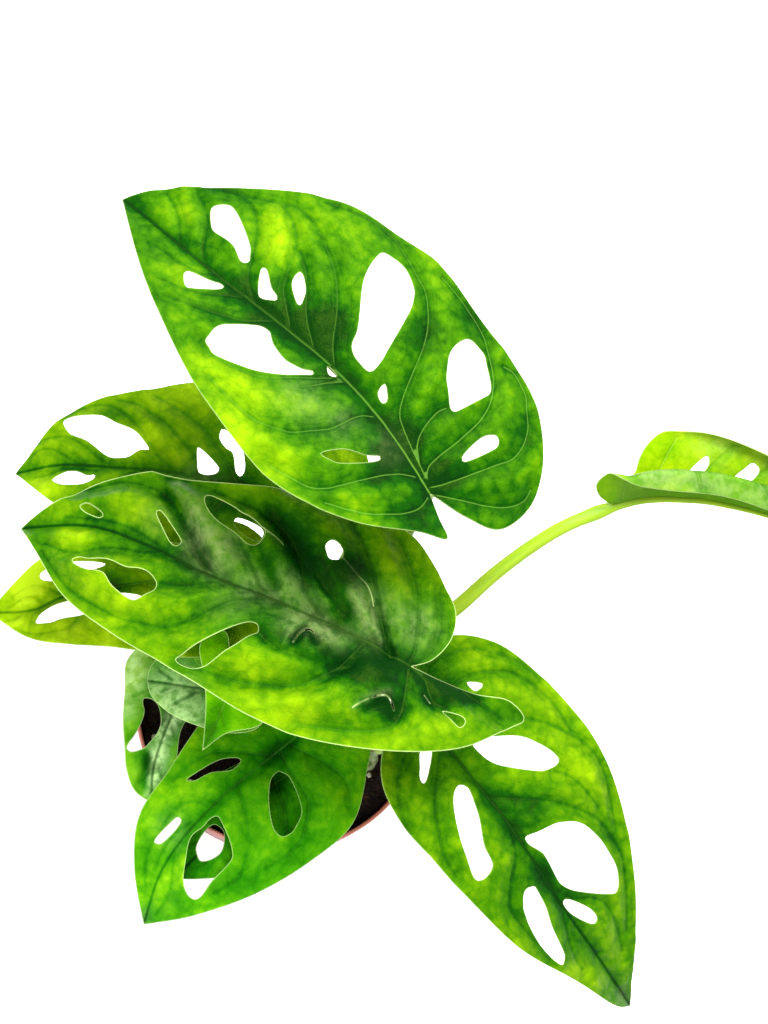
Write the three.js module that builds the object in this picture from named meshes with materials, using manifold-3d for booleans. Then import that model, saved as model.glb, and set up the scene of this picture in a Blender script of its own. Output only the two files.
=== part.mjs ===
// A climbing monstera with holed leaves, rooted in soil in a plastic nursery pot.
// Millimetres, +Z up. The origin is the centre of the pot's underside.
//
// Every leaf is one body: a thin blade with its holes, its petiole and the rib under the blade.
// A blade is drawn flat in its own frame, with x from the petiole to the tip and y to the left,
// and is then raised into an arched, folded and puckered surface and set in place.
import * as THREE from 'three';
import Module from 'manifold-3d';

const wasm = await Module();
wasm.setup();

// ---- driving dimensions -------------------------------------------------------------------

const POT_HEIGHT = 100;
const POT_RIM_RADIUS = 60;
const POT_BASE_RADIUS = 44;
const POT_WALL = 1.6;
const POT_FLOOR = 2.5;
const POT_BAND_BOTTOM = 86;
const DRAIN_HOLE_RADIUS = 4;
const DRAIN_HOLES = 6;
const ROUND_SIDES = 40;

const SOIL_LEVEL = 89;
const SOIL_RINGS = [52, 44, 36, 28, 20, 11];
const PERLITE_RADIUS = 1.5;
const PERLITE_GRAINS = [[-36, -32], [-37, -29], [37, -27], [34, -28], [-49, 3], [20, -45], [-8, -42],
  [-24, 40], [14, 34], [44, 16], [-52, -14], [30, -2], [12, -20], [-30, 6]];

const GAP = 0.3;
const STEM_CLEARANCE = 0.55;
const BLADE_THICKNESS = 0.9;
const OUTLINE_STEP = 7;
const HOLE_STEP = 5.5;
const VEIN_STEP = 9;
const TUBE_SIDES = 7;

// The two stems, from the buried end to the growing tip, with the height of each ringed node.
const STEMS = {
  stem_right: {
    path: [[37, -22, 64], [37, -22, 90], [37, -14, 106], [38, -3, 124], [39, 6, 143]],
    radius: 2.9,
    nodes: [94, 100, 108, 122, 134],
  },
  stem_left: {
    path: [[-2, 8, 64], [-2, 8, 90], [-3, 12, 106], [-2, 19, 124]],
    radius: 2.6,
    nodes: [96, 106, 113, 119],
  },
};

// base: where petiole and blade meet. heading, pitch and roll turn the blade (degrees).
// rib, left and right: the midrib and the two margins, from base to tip for rib and left, and
// back again for right. arch, fold, droop, pucker and wave shape the surface (mm, fold is a
// slope). veins: where the side veins leave the midrib; below zero they run into the lobe.
// petiole: from the stem to the base, in the pot's frame.
const LEAVES = {
  leaf_top: {
    base: [36, 41, 230], heading: 137, pitch: 2, roll: 0, length: 152, halfWidth: 55,
    arch: 10, fold: 0.25, droop: 10, pucker: 1.6, wave: 1.5,
    rib: [[25, -4], [50, -5], [75, -3], [110, 0]],
    left: [[-8, 4], [-15, 7], [-7, 14], [10, 30], [28, 39], [47, 42], [71, 39], [94, 32], [119, 21], [139, 9]],
    right: [[142, -13], [128, -27], [108, -43], [87, -55], [59, -60], [37, -58], [14, -56], [-5, -50],
      [-20, -38], [-27, -25], [-25, -10], [-14, -4]],
    holes: [
      [[102, -10], [113, -19], [123, -20], [118, -12], [108, -9]],
      [[100, 2], [110, 5], [111, 10], [103, 8]],
      [[85, -7], [91, -13], [95, -12], [89, -7]],
      [[77, -12], [82, -20], [86, -20], [82, -13]],
      [[57, 3], [65, 7], [82, 7], [89, 15], [87, 23], [71, 19]],
      [[55, -3], [51, -4], [51, -1]],
      [[44, -13], [49, -35], [55, -46], [64, -50], [72, -42], [67, -30], [58, -19]],
      [[37, -10], [33, -12], [33, -9]],
      [[14, -25], [10, -38], [11, -43], [17, -47], [27, -48], [30, -41], [24, -31]],
      [[0, -15], [1, -24], [-1, -31], [-4, -29], [-3, -19]],
      [[20, 6], [31, 16], [34, 22], [26, 18]],
    ],
    veins: { left: [-5, 9, 38, 78, 108, 130], right: [-8, 4, 23, 55, 73, 100, 122] },
    stem: 'stem_right',
    petiole: [[38, -4, 122], [31, 12, 141], [36, 42, 166], [43, 56, 188], [40, 53, 212]],
    petioleRadius: 1.9,
  },
  leaf_middle: {
    base: [37, -8, 188], heading: 160, pitch: -8, roll: 0, length: 153, halfWidth: 50,
    arch: 12, fold: 0.18, droop: 12, pucker: 2.4, wave: 1.2,
    rib: [[25, -3], [60, -4], [95, -6], [125, -9]],
    left: [[-11, 0], [-24, -1], [-37, -4], [-44, -1], [-40, 5], [-27, 20], [-7, 31], [20, 39], [47, 40],
      [73, 35], [100, 30], [123, 22], [142, 8]],
    right: [[142, -13], [131, -24], [114, -33], [99, -35], [81, -39], [64, -44], [42, -49], [18, -47],
      [3, -36], [-8, -25], [-10, -15], [-6, -5]],
    holes: [
      [[124, -13], [128, -15], [133, -14], [128, -12]],
      [[92, -9], [97, -14], [104, -19], [99, -12]],
      [[58, -20], [70, -27], [89, -31], [86, -24], [73, -18]],
      [[19, -14], [32, -24], [42, -30], [41, -24], [30, -18]],
      [[94, 7], [104, 5], [127, 7], [114, 12], [97, 16]],
      [[54, 11], [65, 17], [76, 30], [64, 29]],
      [[41, 4], [35, 5], [33, 10], [38, 14], [42, 9]],
      [[2, 15], [2, 21], [13, 25], [9, 18]],
      [[-9, 8], [-20, 9], [-23, 13], [-15, 13]],
    ],
    veins: { left: [-22, -2, 20, 52, 66, 106, 128], right: [-8, 8, 38, 75, 102, 128] },
    stem: 'stem_right',
    petiole: [[38, 1, 133], [36, -7, 147], [33, -4, 172]],
    petioleRadius: 1.9,
  },
  leaf_upper_left: {
    base: [11, 70, 154], heading: 177, pitch: -6, roll: 0, length: 124, halfWidth: 42,
    arch: 8, fold: 0.15, droop: 9, pucker: 1.6, wave: 1.5,
    rib: [[30, 1], [50, 0], [75, -3], [105, -4]],
    left: [[-8, 7], [1, 16], [16, 24], [35, 28], [54, 28], [75, 26], [91, 21], [106, 14]],
    right: [[121, -4], [112, -19], [98, -30], [75, -38], [58, -42], [27, -44], [11, -39], [-4, -29],
      [-14, -19], [-13, -6]],
    holes: [
      [[72, -11], [80, -19], [94, -24], [107, -22], [96, -13], [84, -6]],
      [[92, 1], [101, -1], [107, 4], [99, 6]],
      [[53, -12], [44, -4], [51, -2]],
      [[36, -3], [39, -11], [45, -20], [35, -11]],
      [[35, 16], [25, 19], [27, 24], [35, 20]],
    ],
    veins: { left: [-4, 12, 36, 60, 78, 102], right: [-6, 12, 37, 53, 90, 106] },
    stem: 'stem_left',
    petiole: [[-2, 15, 113], [8, 32, 126], [22, 58, 144], [20, 69, 152]],
    petioleRadius: 1.7,
  },
  leaf_left: {
    base: [-19, 39, 146], heading: -171, pitch: -11, roll: 0, length: 102, halfWidth: 38,
    arch: 6, fold: 0.15, droop: 7, pucker: 1.4, wave: 1.2,
    rib: [[30, -1], [60, 0], [85, 1]],
    left: [[-6, 8], [-6, 20], [5, 29], [17, 32], [30, 31], [49, 25], [70, 20], [86, 14]],
    right: [[92, -8], [75, -19], [59, -23], [43, -25], [26, -25], [11, -23], [-2, -18], [-8, -9]],
    holes: [
      [[54, -9], [68, -13], [79, -12], [72, -8]],
      [[41, 6], [51, 2], [79, 4], [79, 9], [62, 8]],
    ],
    veins: { left: [-5, 12, 30, 78, 90], right: [-4, 15, 32, 68, 85] },
    stem: 'stem_left',
    petiole: [[-2, 18, 122], [-1, 32, 134], [-8, 40, 143]],
    petioleRadius: 1.6,
  },
  leaf_lower_right: {
    base: [43, -11, 152], heading: -47, pitch: -21, roll: 0, length: 155, halfWidth: 48,
    arch: 16, fold: 0.15, droop: 8, pucker: 1.6, wave: 1.2,
    rib: [[30, -2], [60, -1], [95, -2], [125, -2]],
    left: [[-5, 6], [-11, 16], [-8, 30], [4, 41], [22, 46], [40, 48], [61, 46], [83, 40], [110, 26], [130, 14],
      [143, 5]],
    right: [[148, -6], [123, -16], [94, -28], [70, -32], [46, -34], [29, -34], [14, -30], [5, -21], [1, -10]],
    holes: [
      [[24, 7], [35, 21], [51, 29], [49, 20], [39, 9]],
      [[11, -6], [17, -16], [24, -18], [17, -7]],
      [[33, -10], [35, -14], [47, -21], [61, -26], [63, -19], [49, -12]],
      [[66, 1], [72, 18], [81, 23], [91, 23], [106, 19], [100, 8], [85, 1]],
      [[95, -2], [100, 4], [111, 4], [104, -2]],
      [[80, -13], [84, -9], [107, -13], [112, -18], [94, -19]],
      [[8, 21], [12, 25], [12, 21]],
    ],
    veins: { left: [-6, 5, 17, 44, 87, 108, 130], right: [-4, 8, 26, 60, 100, 125] },
    stem: 'stem_right',
    petiole: [[37, -13, 108], [36, -23, 121], [40, -20, 140]],
    petioleRadius: 1.9,
  },
  leaf_front: {
    base: [17, -7, 120], heading: -130, pitch: -15, roll: 0, length: 110, halfWidth: 45,
    arch: 12, fold: 0.15, droop: 10, pucker: 1.8, wave: 1.2,
    rib: [[25, -3], [55, -5], [85, -5]],
    left: [[-4, 7], [-3, 18], [9, 27], [28, 36], [49, 33], [72, 25], [93, 13]],
    right: [[95, -17], [79, -28], [58, -31], [30, -35], [17, -37], [4, -33], [-4, -22], [-4, -9]],
    holes: [
      [[38, -13], [46, -20], [57, -23], [54, -19], [47, -15]],
      [[32, 2], [32, 9], [37, 18], [45, 20], [47, 13], [40, 5]],
      [[70, -15], [82, -17], [80, -14]],
      [[59, -5], [65, 9], [78, 11], [89, 9], [87, 1], [72, -7]],
    ],
    veins: { left: [-6, 8, 20, 41, 80, 96], right: [-8, 8, 24, 48, 74, 92] },
    stem: 'stem_right',
    petiole: [[37, -18, 99], [30, -9, 108], [25, -4, 117]],
    petioleRadius: 1.7,
  },
  leaf_folded: {
    base: [-37, 14, 113], heading: -100, pitch: -10, roll: 0, length: 61, halfWidth: 25,
    arch: 5, fold: 0.3, droop: 5, pucker: 0.9, wave: 0.5,
    rib: [[20, -3], [40, -6], [55, -5]],
    left: [[0, 5], [10, 8], [20, 5], [30, 1], [44, 2], [54, 1]],
    right: [[57, -11], [50, -16], [41, -19], [31, -22], [20, -24], [8, -26], [-1, -20], [-4, -8]],
    holes: [
      [[21, -15], [25, -10], [31, -8], [41, -12], [42, -18], [31, -16]],
    ],
    veins: { left: [10, 28, 44], right: [0, 12, 44, 52] },
    stem: 'stem_left',
    petiole: [[-2, 9, 96], [-16, 18, 106], [-30, 22, 113]],
    petioleRadius: 1.3,
  },
  leaf_small_oval: {
    base: [-14, -4, 130], heading: 174, pitch: -11, roll: 0, length: 43, halfWidth: 20,
    arch: 4, fold: 0.1, droop: 3, pucker: 0.7, wave: 0.4,
    rib: [[21, 2]],
    left: [[-5, 5], [-3, 14], [6, 18], [19, 17], [31, 13], [40, 6]],
    right: [[42, -6], [34, -14], [24, -17], [13, -17], [2, -13], [-3, -6]],
    holes: [],
    veins: { left: [-2, 9, 20, 30], right: [-2, 9, 20, 30] },
    stem: 'stem_left',
    petiole: [[-3, 12, 106], [-9, 18, 116], [-8, 14, 125], [-7, 3, 130]],
    petioleRadius: 1.2,
  },
  leaf_small_lime: {
    base: [-23, -2, 154], heading: -111, pitch: -28, roll: 0, length: 34, halfWidth: 18,
    arch: 4, fold: 0.25, droop: 2, pucker: 0.6, wave: 0.3,
    rib: [[14, 1]],
    left: [[-2, 6], [1, 14], [8, 18], [15, 16], [23, 6]],
    right: [[26, -2], [14, -6], [5, -11], [-3, -16], [-10, -15], [-10, -9], [-5, -5]],
    holes: [],
    veins: { left: [-2, 7, 16, 24], right: [-4, 5, 14, 22] },
    stem: 'stem_left',
    petiole: [[-2, 17, 119], [0, 12, 131], [-5, 5, 146], [-14, 1, 154]],
    petioleRadius: 1.2,
  },
  leaf_under_front: {
    base: [6, -29, 114], heading: -138, pitch: -18, roll: 0, length: 66, halfWidth: 25,
    arch: 5, fold: 0.1, droop: 4, pucker: 0.9, wave: 0.5,
    rib: [[23, -2], [43, -1]],
    left: [[-2, 8], [7, 17], [20, 20], [35, 18], [46, 15], [59, 6]],
    right: [[62, -5], [55, -10], [45, -16], [33, -19], [19, -17], [6, -12], [-2, -5]],
    holes: [
      [[51, -3], [40, -5], [39, 0], [45, 5], [53, 2]],
    ],
    veins: { left: [-3, 12, 28, 56], right: [-3, 12, 28, 45] },
    stem: 'stem_right',
    petiole: [[37, -22, 94], [26, -27, 104], [15, -26, 112]],
    petioleRadius: 1.3,
  },
  // The newest leaf, still half rolled: both halves stand up from the midrib and fall over.
  leaf_new: {
    base: [112, 56, 196], heading: -8, pitch: -4, roll: 0, length: 122, halfWidth: 38,
    arch: 6, fold: 0, droop: 0, pucker: 0, wave: 0,
    curl: {
      left: { rise: 20, fall: -130, from: 26, over: 8, taper: 0.16 },
      right: { rise: 112, fall: 142, from: 13, over: 5, taper: 0.05 },
    },
    rib: [[12, 5], [24, 7.5], [40, 9], [70, 7.5]],
    left: [[3, 8], [6.5, 14], [7, 19], [9, 25], [14, 31], [22, 33], [32, 35], [55, 34], [75, 29], [100, 17]],
    right: [[108, -7], [90, -12], [66, -15], [38, -15], [14, -19], [2, -20], [-6, -17], [-9, -10], [-6, -4]],
    holes: [
      [[26, 15], [29, 21], [33, 25], [34, 22], [31, 17]],
      [[45, 19], [48, 23], [51, 26], [54, 24], [51, 19]],
    ],
    veins: { left: [4, 15, 29, 42, 62, 84, 102], right: [4, 20, 40, 60, 80, 100] },
    stem: 'stem_right',
    petiole: [[39, 4, 141], [41, 13, 153], [48, 16, 160], [60, 20, 164], [79, 37, 176], [99, 49, 190]],
    petioleRadius: 2.5,
  },
};

// ---- solids -------------------------------------------------------------------------------

function toManifold(vertices, triangles) {
  let volume = 0;
  for (const [a, b, c] of triangles) {
    volume += new THREE.Vector3().crossVectors(vertices[a], vertices[b]).dot(vertices[c]);
  }
  const vertProperties = new Float32Array(vertices.length * 3);
  vertices.forEach((v, i) => v.toArray(vertProperties, i * 3));
  const outward = volume > 0 ? triangles : triangles.map(([a, b, c]) => [a, c, b]);
  const triVerts = new Uint32Array(outward.flat());
  return new wasm.Manifold(new wasm.Mesh({ numProp: 3, vertProperties, triVerts }));
}

function toGeometry(solid) {
  const mesh = solid.getMesh();
  const geometry = new THREE.BufferGeometry();
  geometry.setAttribute('position', new THREE.BufferAttribute(mesh.vertProperties, 3));
  geometry.setIndex(new THREE.BufferAttribute(mesh.triVerts, 1));
  geometry.computeVertexNormals();
  return geometry;
}

// Joins rings of equally many points into one closed skin. A ring of one point is a tip.
function skin(rings) {
  const vertices = rings.flat();
  const triangles = [];
  let start = 0;
  for (let i = 0; i + 1 < rings.length; i += 1) {
    const here = rings[i].length;
    const next = rings[i + 1].length;
    const count = Math.max(here, next);
    for (let k = 0; k < count; k += 1) {
      const a = start + (k % here);
      const b = start + ((k + 1) % here);
      const c = start + here + (k % next);
      const d = start + here + ((k + 1) % next);
      if (here > 1) {
        triangles.push([a, b, d]);
      }
      if (next > 1) {
        triangles.push([a, d, c]);
      }
    }
    start += here;
  }
  return toManifold(vertices, triangles);
}

function ring(radius, z, sides) {
  if (radius === 0) {
    return [new THREE.Vector3(0, 0, z)];
  }
  const points = [];
  for (let k = 0; k < sides; k += 1) {
    const angle = (2 * Math.PI * k) / sides;
    points.push(new THREE.Vector3(radius * Math.cos(angle), radius * Math.sin(angle), z));
  }
  return points;
}

// A round bar along a curve, with the radius given by a function of the distance along it.
function bar(points, radiusAt, step, sides) {
  const curve = new THREE.CatmullRomCurve3(points, false, 'centripetal');
  const length = curve.getLength();
  const segments = Math.max(3, Math.round(length / step));
  const frames = curve.computeFrenetFrames(segments, false);
  const rings = [[curve.getPointAt(0)]];
  for (let i = 0; i <= segments; i += 1) {
    const centre = curve.getPointAt(i / segments);
    const radius = radiusAt((i / segments) * length, length, centre);
    const around = [];
    for (let k = 0; k < sides; k += 1) {
      const angle = (2 * Math.PI * k) / sides;
      const point = centre.clone();
      point.addScaledVector(frames.normals[i], radius * Math.cos(angle));
      point.addScaledVector(frames.binormals[i], radius * Math.sin(angle));
      around.push(point);
    }
    rings.push(around);
  }
  rings.push([curve.getPointAt(1)]);
  return skin(rings);
}

// ---- flat outlines ------------------------------------------------------------------------

// Points at about one step along a smooth curve through the given ones.
function smooth(points, closed, step) {
  const curve = new THREE.CatmullRomCurve3(
    points.map(([x, y]) => new THREE.Vector3(x, y, 0)), closed, 'centripetal',
  );
  const count = Math.max(closed ? 5 : 2, Math.round(curve.getLength() / step));
  const spaced = curve.getSpacedPoints(count).map((p) => [p.x, p.y]);
  return closed ? spaced.slice(0, -1) : spaced;
}

// Margin and holes as closed loops. The margin has corners at the petiole and at the tip.
function leafLoops(leaf) {
  const base = [0, 0];
  const tip = [leaf.length, 0];
  const left = smooth([base, ...leaf.left, tip], false, OUTLINE_STEP);
  const right = smooth([tip, ...leaf.right, base], false, OUTLINE_STEP);
  const margin = [...left.slice(0, -1), ...right.slice(0, -1)];
  return [margin, ...leaf.holes.map((hole) => smooth(hole, true, HOLE_STEP))];
}

function isInside([x, y], loop) {
  let inside = false;
  for (let i = 0, j = loop.length - 1; i < loop.length; j = i, i += 1) {
    const [xi, yi] = loop[i];
    const [xj, yj] = loop[j];
    if (yi > y !== yj > y && x < ((xj - xi) * (y - yi)) / (yj - yi) + xi) {
      inside = !inside;
    }
  }
  return inside;
}

function distanceToSegment([x, y], [ax, ay], [bx, by]) {
  const dx = bx - ax;
  const dy = by - ay;
  const t = Math.min(1, Math.max(0, ((x - ax) * dx + (y - ay) * dy) / (dx * dx + dy * dy)));
  return Math.hypot(x - ax - t * dx, y - ay - t * dy);
}

function distanceToLoop(point, loop) {
  return Math.min(...loop.map((p, i) => distanceToSegment(point, p, loop[(i + 1) % loop.length])));
}

function isOnBlade(point, loops, clearance) {
  if (!isInside(point, loops[0]) || loops.slice(1).some((hole) => isInside(point, hole))) {
    return false;
  }
  return clearance === 0 || loops.every((loop) => distanceToLoop(point, loop) > clearance);
}

// ---- midrib, veins and surface ------------------------------------------------------------

function ribY(leaf, x) {
  const points = [[0, 0], ...leaf.rib, [leaf.length, 0]];
  if (x <= 0 || x >= leaf.length) {
    return 0;
  }
  const i = points.findIndex((p, k) => k > 0 && x <= p[0]) - 1;
  const slope = (k) => {
    const a = points[Math.max(0, k - 1)];
    const b = points[Math.min(points.length - 1, k + 1)];
    return (b[1] - a[1]) / (b[0] - a[0]);
  };
  const span = points[i + 1][0] - points[i][0];
  const t = (x - points[i][0]) / span;
  const h = t * t * (3 - 2 * t);
  return points[i][1] * (1 - h) + points[i + 1][1] * h
    + span * (slope(i) * t * (1 - t) * (1 - t) - slope(i + 1) * t * t * (1 - t));
}

// A side vein leaves the midrib leaning forward, more so towards the tip, and bends on.
function veinPoint(leaf, side, start, reach) {
  const lean = -0.4 + (3.2 * start) / leaf.length;
  const bend = leaf.length < 100 ? 1 / leaf.length : 0.01;
  const root = start < 0 ? start * Math.min(1, reach / 10) : start;
  const x = root + lean * reach + bend * reach * reach;
  return [x, ribY(leaf, x) + side * reach];
}

function leafVeins(leaf, margin) {
  const veins = [];
  for (const [side, starts] of [[1, leaf.veins.left], [-1, leaf.veins.right]]) {
    for (const start of starts) {
      const vein = [];
      for (let reach = 0; reach < 70; reach += 4) {
        const point = veinPoint(leaf, side, start, reach);
        if (reach > 8 && !isInside(point, margin)) {
          break;
        }
        vein.push(point);
      }
      veins.push(vein);
    }
  }
  return veins;
}

// Direction and place of a half blade that rises from the midrib and bends over, in y and z.
function curlAt(curl, distance, x) {
  const from = curl.from - curl.taper * x;
  let y = 0;
  let z = 0;
  let angle = 0;
  const steps = 60;
  for (let i = 0; i <= steps; i += 1) {
    const t = Math.min(1, Math.max(0, ((i / steps) * distance - from) / curl.over));
    angle = THREE.MathUtils.degToRad(curl.rise - curl.fall * t);
    y += (i < steps ? distance / steps : 0) * Math.cos(angle);
    z += (i < steps ? distance / steps : 0) * Math.sin(angle);
  }
  return { y, z, angle };
}

// The point of the blade over the flat point x, y, on the upper (1) or lower (-1) face.
function surfacePoint(leaf, veins, [x, y], face) {
  const u = x / leaf.length;
  const rib = ribY(leaf, x);
  const d = y - rib;
  const arch = 4 * leaf.arch * u * (1 - u);
  const offset = (face * BLADE_THICKNESS) / 2;
  if (leaf.curl) {
    const side = d < 0 ? -1 : 1;
    const curl = curlAt(d < 0 ? leaf.curl.right : leaf.curl.left, Math.abs(d), x);
    return new THREE.Vector3(
      x,
      rib + side * (curl.y - (d === 0 ? 0 : offset * Math.sin(curl.angle))),
      arch + curl.z + offset * (d === 0 ? 1 : Math.cos(curl.angle)),
    );
  }
  const reach = Math.abs(d) / leaf.halfWidth;
  const toVein = Math.min(...veins.flatMap((vein) => vein.slice(1).map((p, i) => (
    distanceToSegment([x, y], vein[i], p)
  ))));
  const between = 1 - Math.exp(-((toVein / 5) ** 2));
  const pucker = leaf.pucker * between * Math.min(1, Math.abs(d) / 8);
  const wave = leaf.wave * Math.sin(x / 8 + (d < 0 ? 2 : 0)) * reach * reach;
  return new THREE.Vector3(
    x, y, arch + leaf.fold * Math.abs(d) - leaf.droop * reach * reach + pucker + wave + offset,
  );
}

// ---- blade as a closed slab ---------------------------------------------------------------

// Delaunay triangles of flat points, by adding one point at a time.
function delaunay(points) {
  const far = 1e4;
  const all = [...points, [-far, -far], [far, -far], [0, far]];
  const n = points.length;
  const circle = (a, b, c) => {
    const [ax, ay] = all[a];
    const [bx, by] = [all[b][0] - ax, all[b][1] - ay];
    const [cx, cy] = [all[c][0] - ax, all[c][1] - ay];
    const D = 2 * (bx * cy - by * cx);
    const x = (cy * (bx * bx + by * by) - by * (cx * cx + cy * cy)) / D;
    const y = (bx * (cx * cx + cy * cy) - cx * (bx * bx + by * by)) / D;
    return { corners: [a, b, c], x: ax + x, y: ay + y, r2: x * x + y * y };
  };
  let triangles = [circle(n, n + 1, n + 2)];
  for (let i = 0; i < n; i += 1) {
    const [x, y] = all[i];
    const hit = triangles.filter((t) => (x - t.x) ** 2 + (y - t.y) ** 2 < t.r2);
    triangles = triangles.filter((t) => !hit.includes(t));
    const edges = new Map();
    for (const { corners: [a, b, c] } of hit) {
      for (const [p, q] of [[a, b], [b, c], [c, a]]) {
        if (!edges.delete(`${q},${p}`)) {
          edges.set(`${p},${q}`, [p, q]);
        }
      }
    }
    for (const [p, q] of edges.values()) {
      triangles.push(circle(p, q, i));
    }
  }
  return triangles.map((t) => t.corners).filter((corners) => corners.every((k) => k < n));
}

// Inner points along the midrib, the side veins and the ridges halfway between them.
function innerPoints(leaf, loops) {
  const points = [];
  const add = (point) => {
    const [x, y] = point;
    const isFree = points.every(([px, py]) => Math.hypot(x - px, y - py) > 4.5);
    if (isFree && isOnBlade(point, loops, 2.4)) {
      points.push([x + 0.03 * Math.sin(7 * y), y + 0.03 * Math.cos(5 * x)]);
    }
  };
  for (let x = 4; x < leaf.length; x += 8) {
    add([x, ribY(leaf, x)]);
  }
  if (leaf.curl) {
    const rows = [4, 8, 10.5, 13, 15.5, 18, 22, 26, 30, 34];
    for (const reach of rows) {
      for (let x = 0; x < leaf.length; x += 8) {
        add([x, ribY(leaf, x) + reach]);
        add([x + 4, ribY(leaf, x + 4) - reach]);
      }
    }
    return points;
  }
  for (const [side, starts] of [[1, leaf.veins.left], [-1, leaf.veins.right]]) {
    const between = starts.slice(1).map((start, i) => (start + starts[i]) / 2);
    for (const start of [...starts, ...between]) {
      for (let reach = VEIN_STEP * 0.7; reach < 70; reach += VEIN_STEP) {
        add(veinPoint(leaf, side, start, reach));
      }
    }
  }
  return points;
}

function blade(leaf, loops, veins) {
  let margins = loops;
  let points;
  let triangles;
  for (let round = 0; round < 8; round += 1) {
    points = [...margins.flat(), ...innerPoints(leaf, margins)];
    triangles = delaunay(points);
    const edges = new Set(triangles.flatMap(([a, b, c]) => [[a, b], [b, c], [c, a]])
      .map(([a, b]) => `${Math.min(a, b)},${Math.max(a, b)}`));
    let first = 0;
    let isWhole = true;
    margins = margins.map((loop) => {
      const split = [];
      loop.forEach((point, i) => {
        const next = (i + 1) % loop.length;
        const key = [first + i, first + next].sort((a, b) => a - b).join(',');
        split.push(point);
        if (!edges.has(key)) {
          isWhole = false;
          split.push([(point[0] + loop[next][0]) / 2, (point[1] + loop[next][1]) / 2]);
        }
      });
      first += loop.length;
      return split;
    });
    if (isWhole) {
      break;
    }
  }
  triangles = triangles.filter(([a, b, c]) => {
    const x = (points[a][0] + points[b][0] + points[c][0]) / 3;
    const y = (points[a][1] + points[b][1] + points[c][1]) / 3;
    return isOnBlade([x, y], margins, 0);
  });
  const n = points.length;
  const vertices = [1, -1].flatMap((face) => points.map((p) => surfacePoint(leaf, veins, p, face)));
  const faces = triangles.flatMap(([a, b, c]) => [[a, b, c], [a + n, c + n, b + n]]);
  const edges = new Set(triangles.flatMap(([a, b, c]) => [`${a},${b}`, `${b},${c}`, `${c},${a}`]));
  for (const edge of edges) {
    const [a, b] = edge.split(',').map(Number);
    if (!edges.has(`${b},${a}`)) {
      faces.push([b, a, a + n], [b, a + n, b + n]);
    }
  }
  const used = [...new Set(faces.flat())];
  const place = new Map(used.map((k, i) => [k, i]));
  return toManifold(used.map((k) => vertices[k]), faces.map((face) => face.map((k) => place.get(k))));
}

// ---- plant --------------------------------------------------------------------------------

const ringed = (stem, extra) => (distance, length, centre) => {
  const bulge = stem.nodes.reduce((sum, z) => sum + Math.exp(-(((centre.z - z) / 1.6) ** 2)), 0);
  const taper = 1 - 0.15 * (distance / length);
  return stem.radius * taper + 0.5 * Math.min(1, bulge) + extra;
};

function stemBar(stem, extra) {
  const points = stem.path.map((p) => new THREE.Vector3(...p));
  points[0].z -= extra;
  points[points.length - 1].z += extra;
  return bar(points, ringed(stem, extra), 3.2, 9);
}

// Petiole and midrib in one: up from the stem, under the base and along the blade's underside.
function leafStalk(leaf, veins, toBlade) {
  const points = leaf.petiole.map((p) => new THREE.Vector3(...p).applyMatrix4(toBlade));
  const petioleLength = new THREE.CatmullRomCurve3([...points, new THREE.Vector3()]).getLength();
  const ribEnd = leaf.length * 0.45;
  for (const x of [3, ribEnd * 0.5, ribEnd]) {
    const under = surfacePoint(leaf, veins, [x, ribY(leaf, x)], -1);
    under.z -= 0.45;
    points.push(under);
  }
  const radiusAt = (distance) => {
    const sheath = 1 + 0.5 * Math.exp(-distance / 8);
    const alongRib = Math.max(0, (distance - petioleLength) / ribEnd);
    const rib = THREE.MathUtils.lerp(1.3, 0.7, Math.min(1, alongRib));
    const blend = THREE.MathUtils.smoothstep(distance, petioleLength - 9, petioleLength + 3);
    return THREE.MathUtils.lerp(leaf.petioleRadius * sheath, rib, blend);
  };
  return bar(points, radiusAt, 8, TUBE_SIDES);
}

function soilSurface(x, y) {
  return SOIL_LEVEL + 0.7 * Math.sin(x / 5 + 1) * Math.cos(y / 6) + 0.6 * Math.sin(x / 3 - y / 4)
    + 0.5 * Math.cos(y / 2.6 + x / 9);
}

function soilBody() {
  const wallGap = POT_WALL + GAP;
  const rings = [ring(0, POT_FLOOR + GAP, ROUND_SIDES)];
  rings.push(ring(POT_BASE_RADIUS - wallGap, POT_FLOOR + GAP, ROUND_SIDES));
  rings.push(ring(57.5 - wallGap, POT_BAND_BOTTOM - 1, ROUND_SIDES));
  rings.push(ring(57.2, SOIL_LEVEL - 0.5, ROUND_SIDES));
  for (const radius of [...SOIL_RINGS, 0]) {
    const level = ring(radius, SOIL_LEVEL, ROUND_SIDES);
    level.forEach((p) => {
      p.z = soilSurface(p.x, p.y);
    });
    rings.push(level);
  }
  let soil = skin(rings);
  for (const [x, y] of PERLITE_GRAINS) {
    const z = soilSurface(x, y) + 0.3;
    const grain = [];
    for (const [radius, height] of [[0, -1.4], [1, 0], [0, 1]]) {
      grain.push(ring(radius * PERLITE_RADIUS, z + height * PERLITE_RADIUS, 5).map((p) => {
        p.x += x;
        p.y += y;
        return p;
      }));
    }
    soil = soil.add(skin(grain));
  }
  return soil;
}

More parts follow.
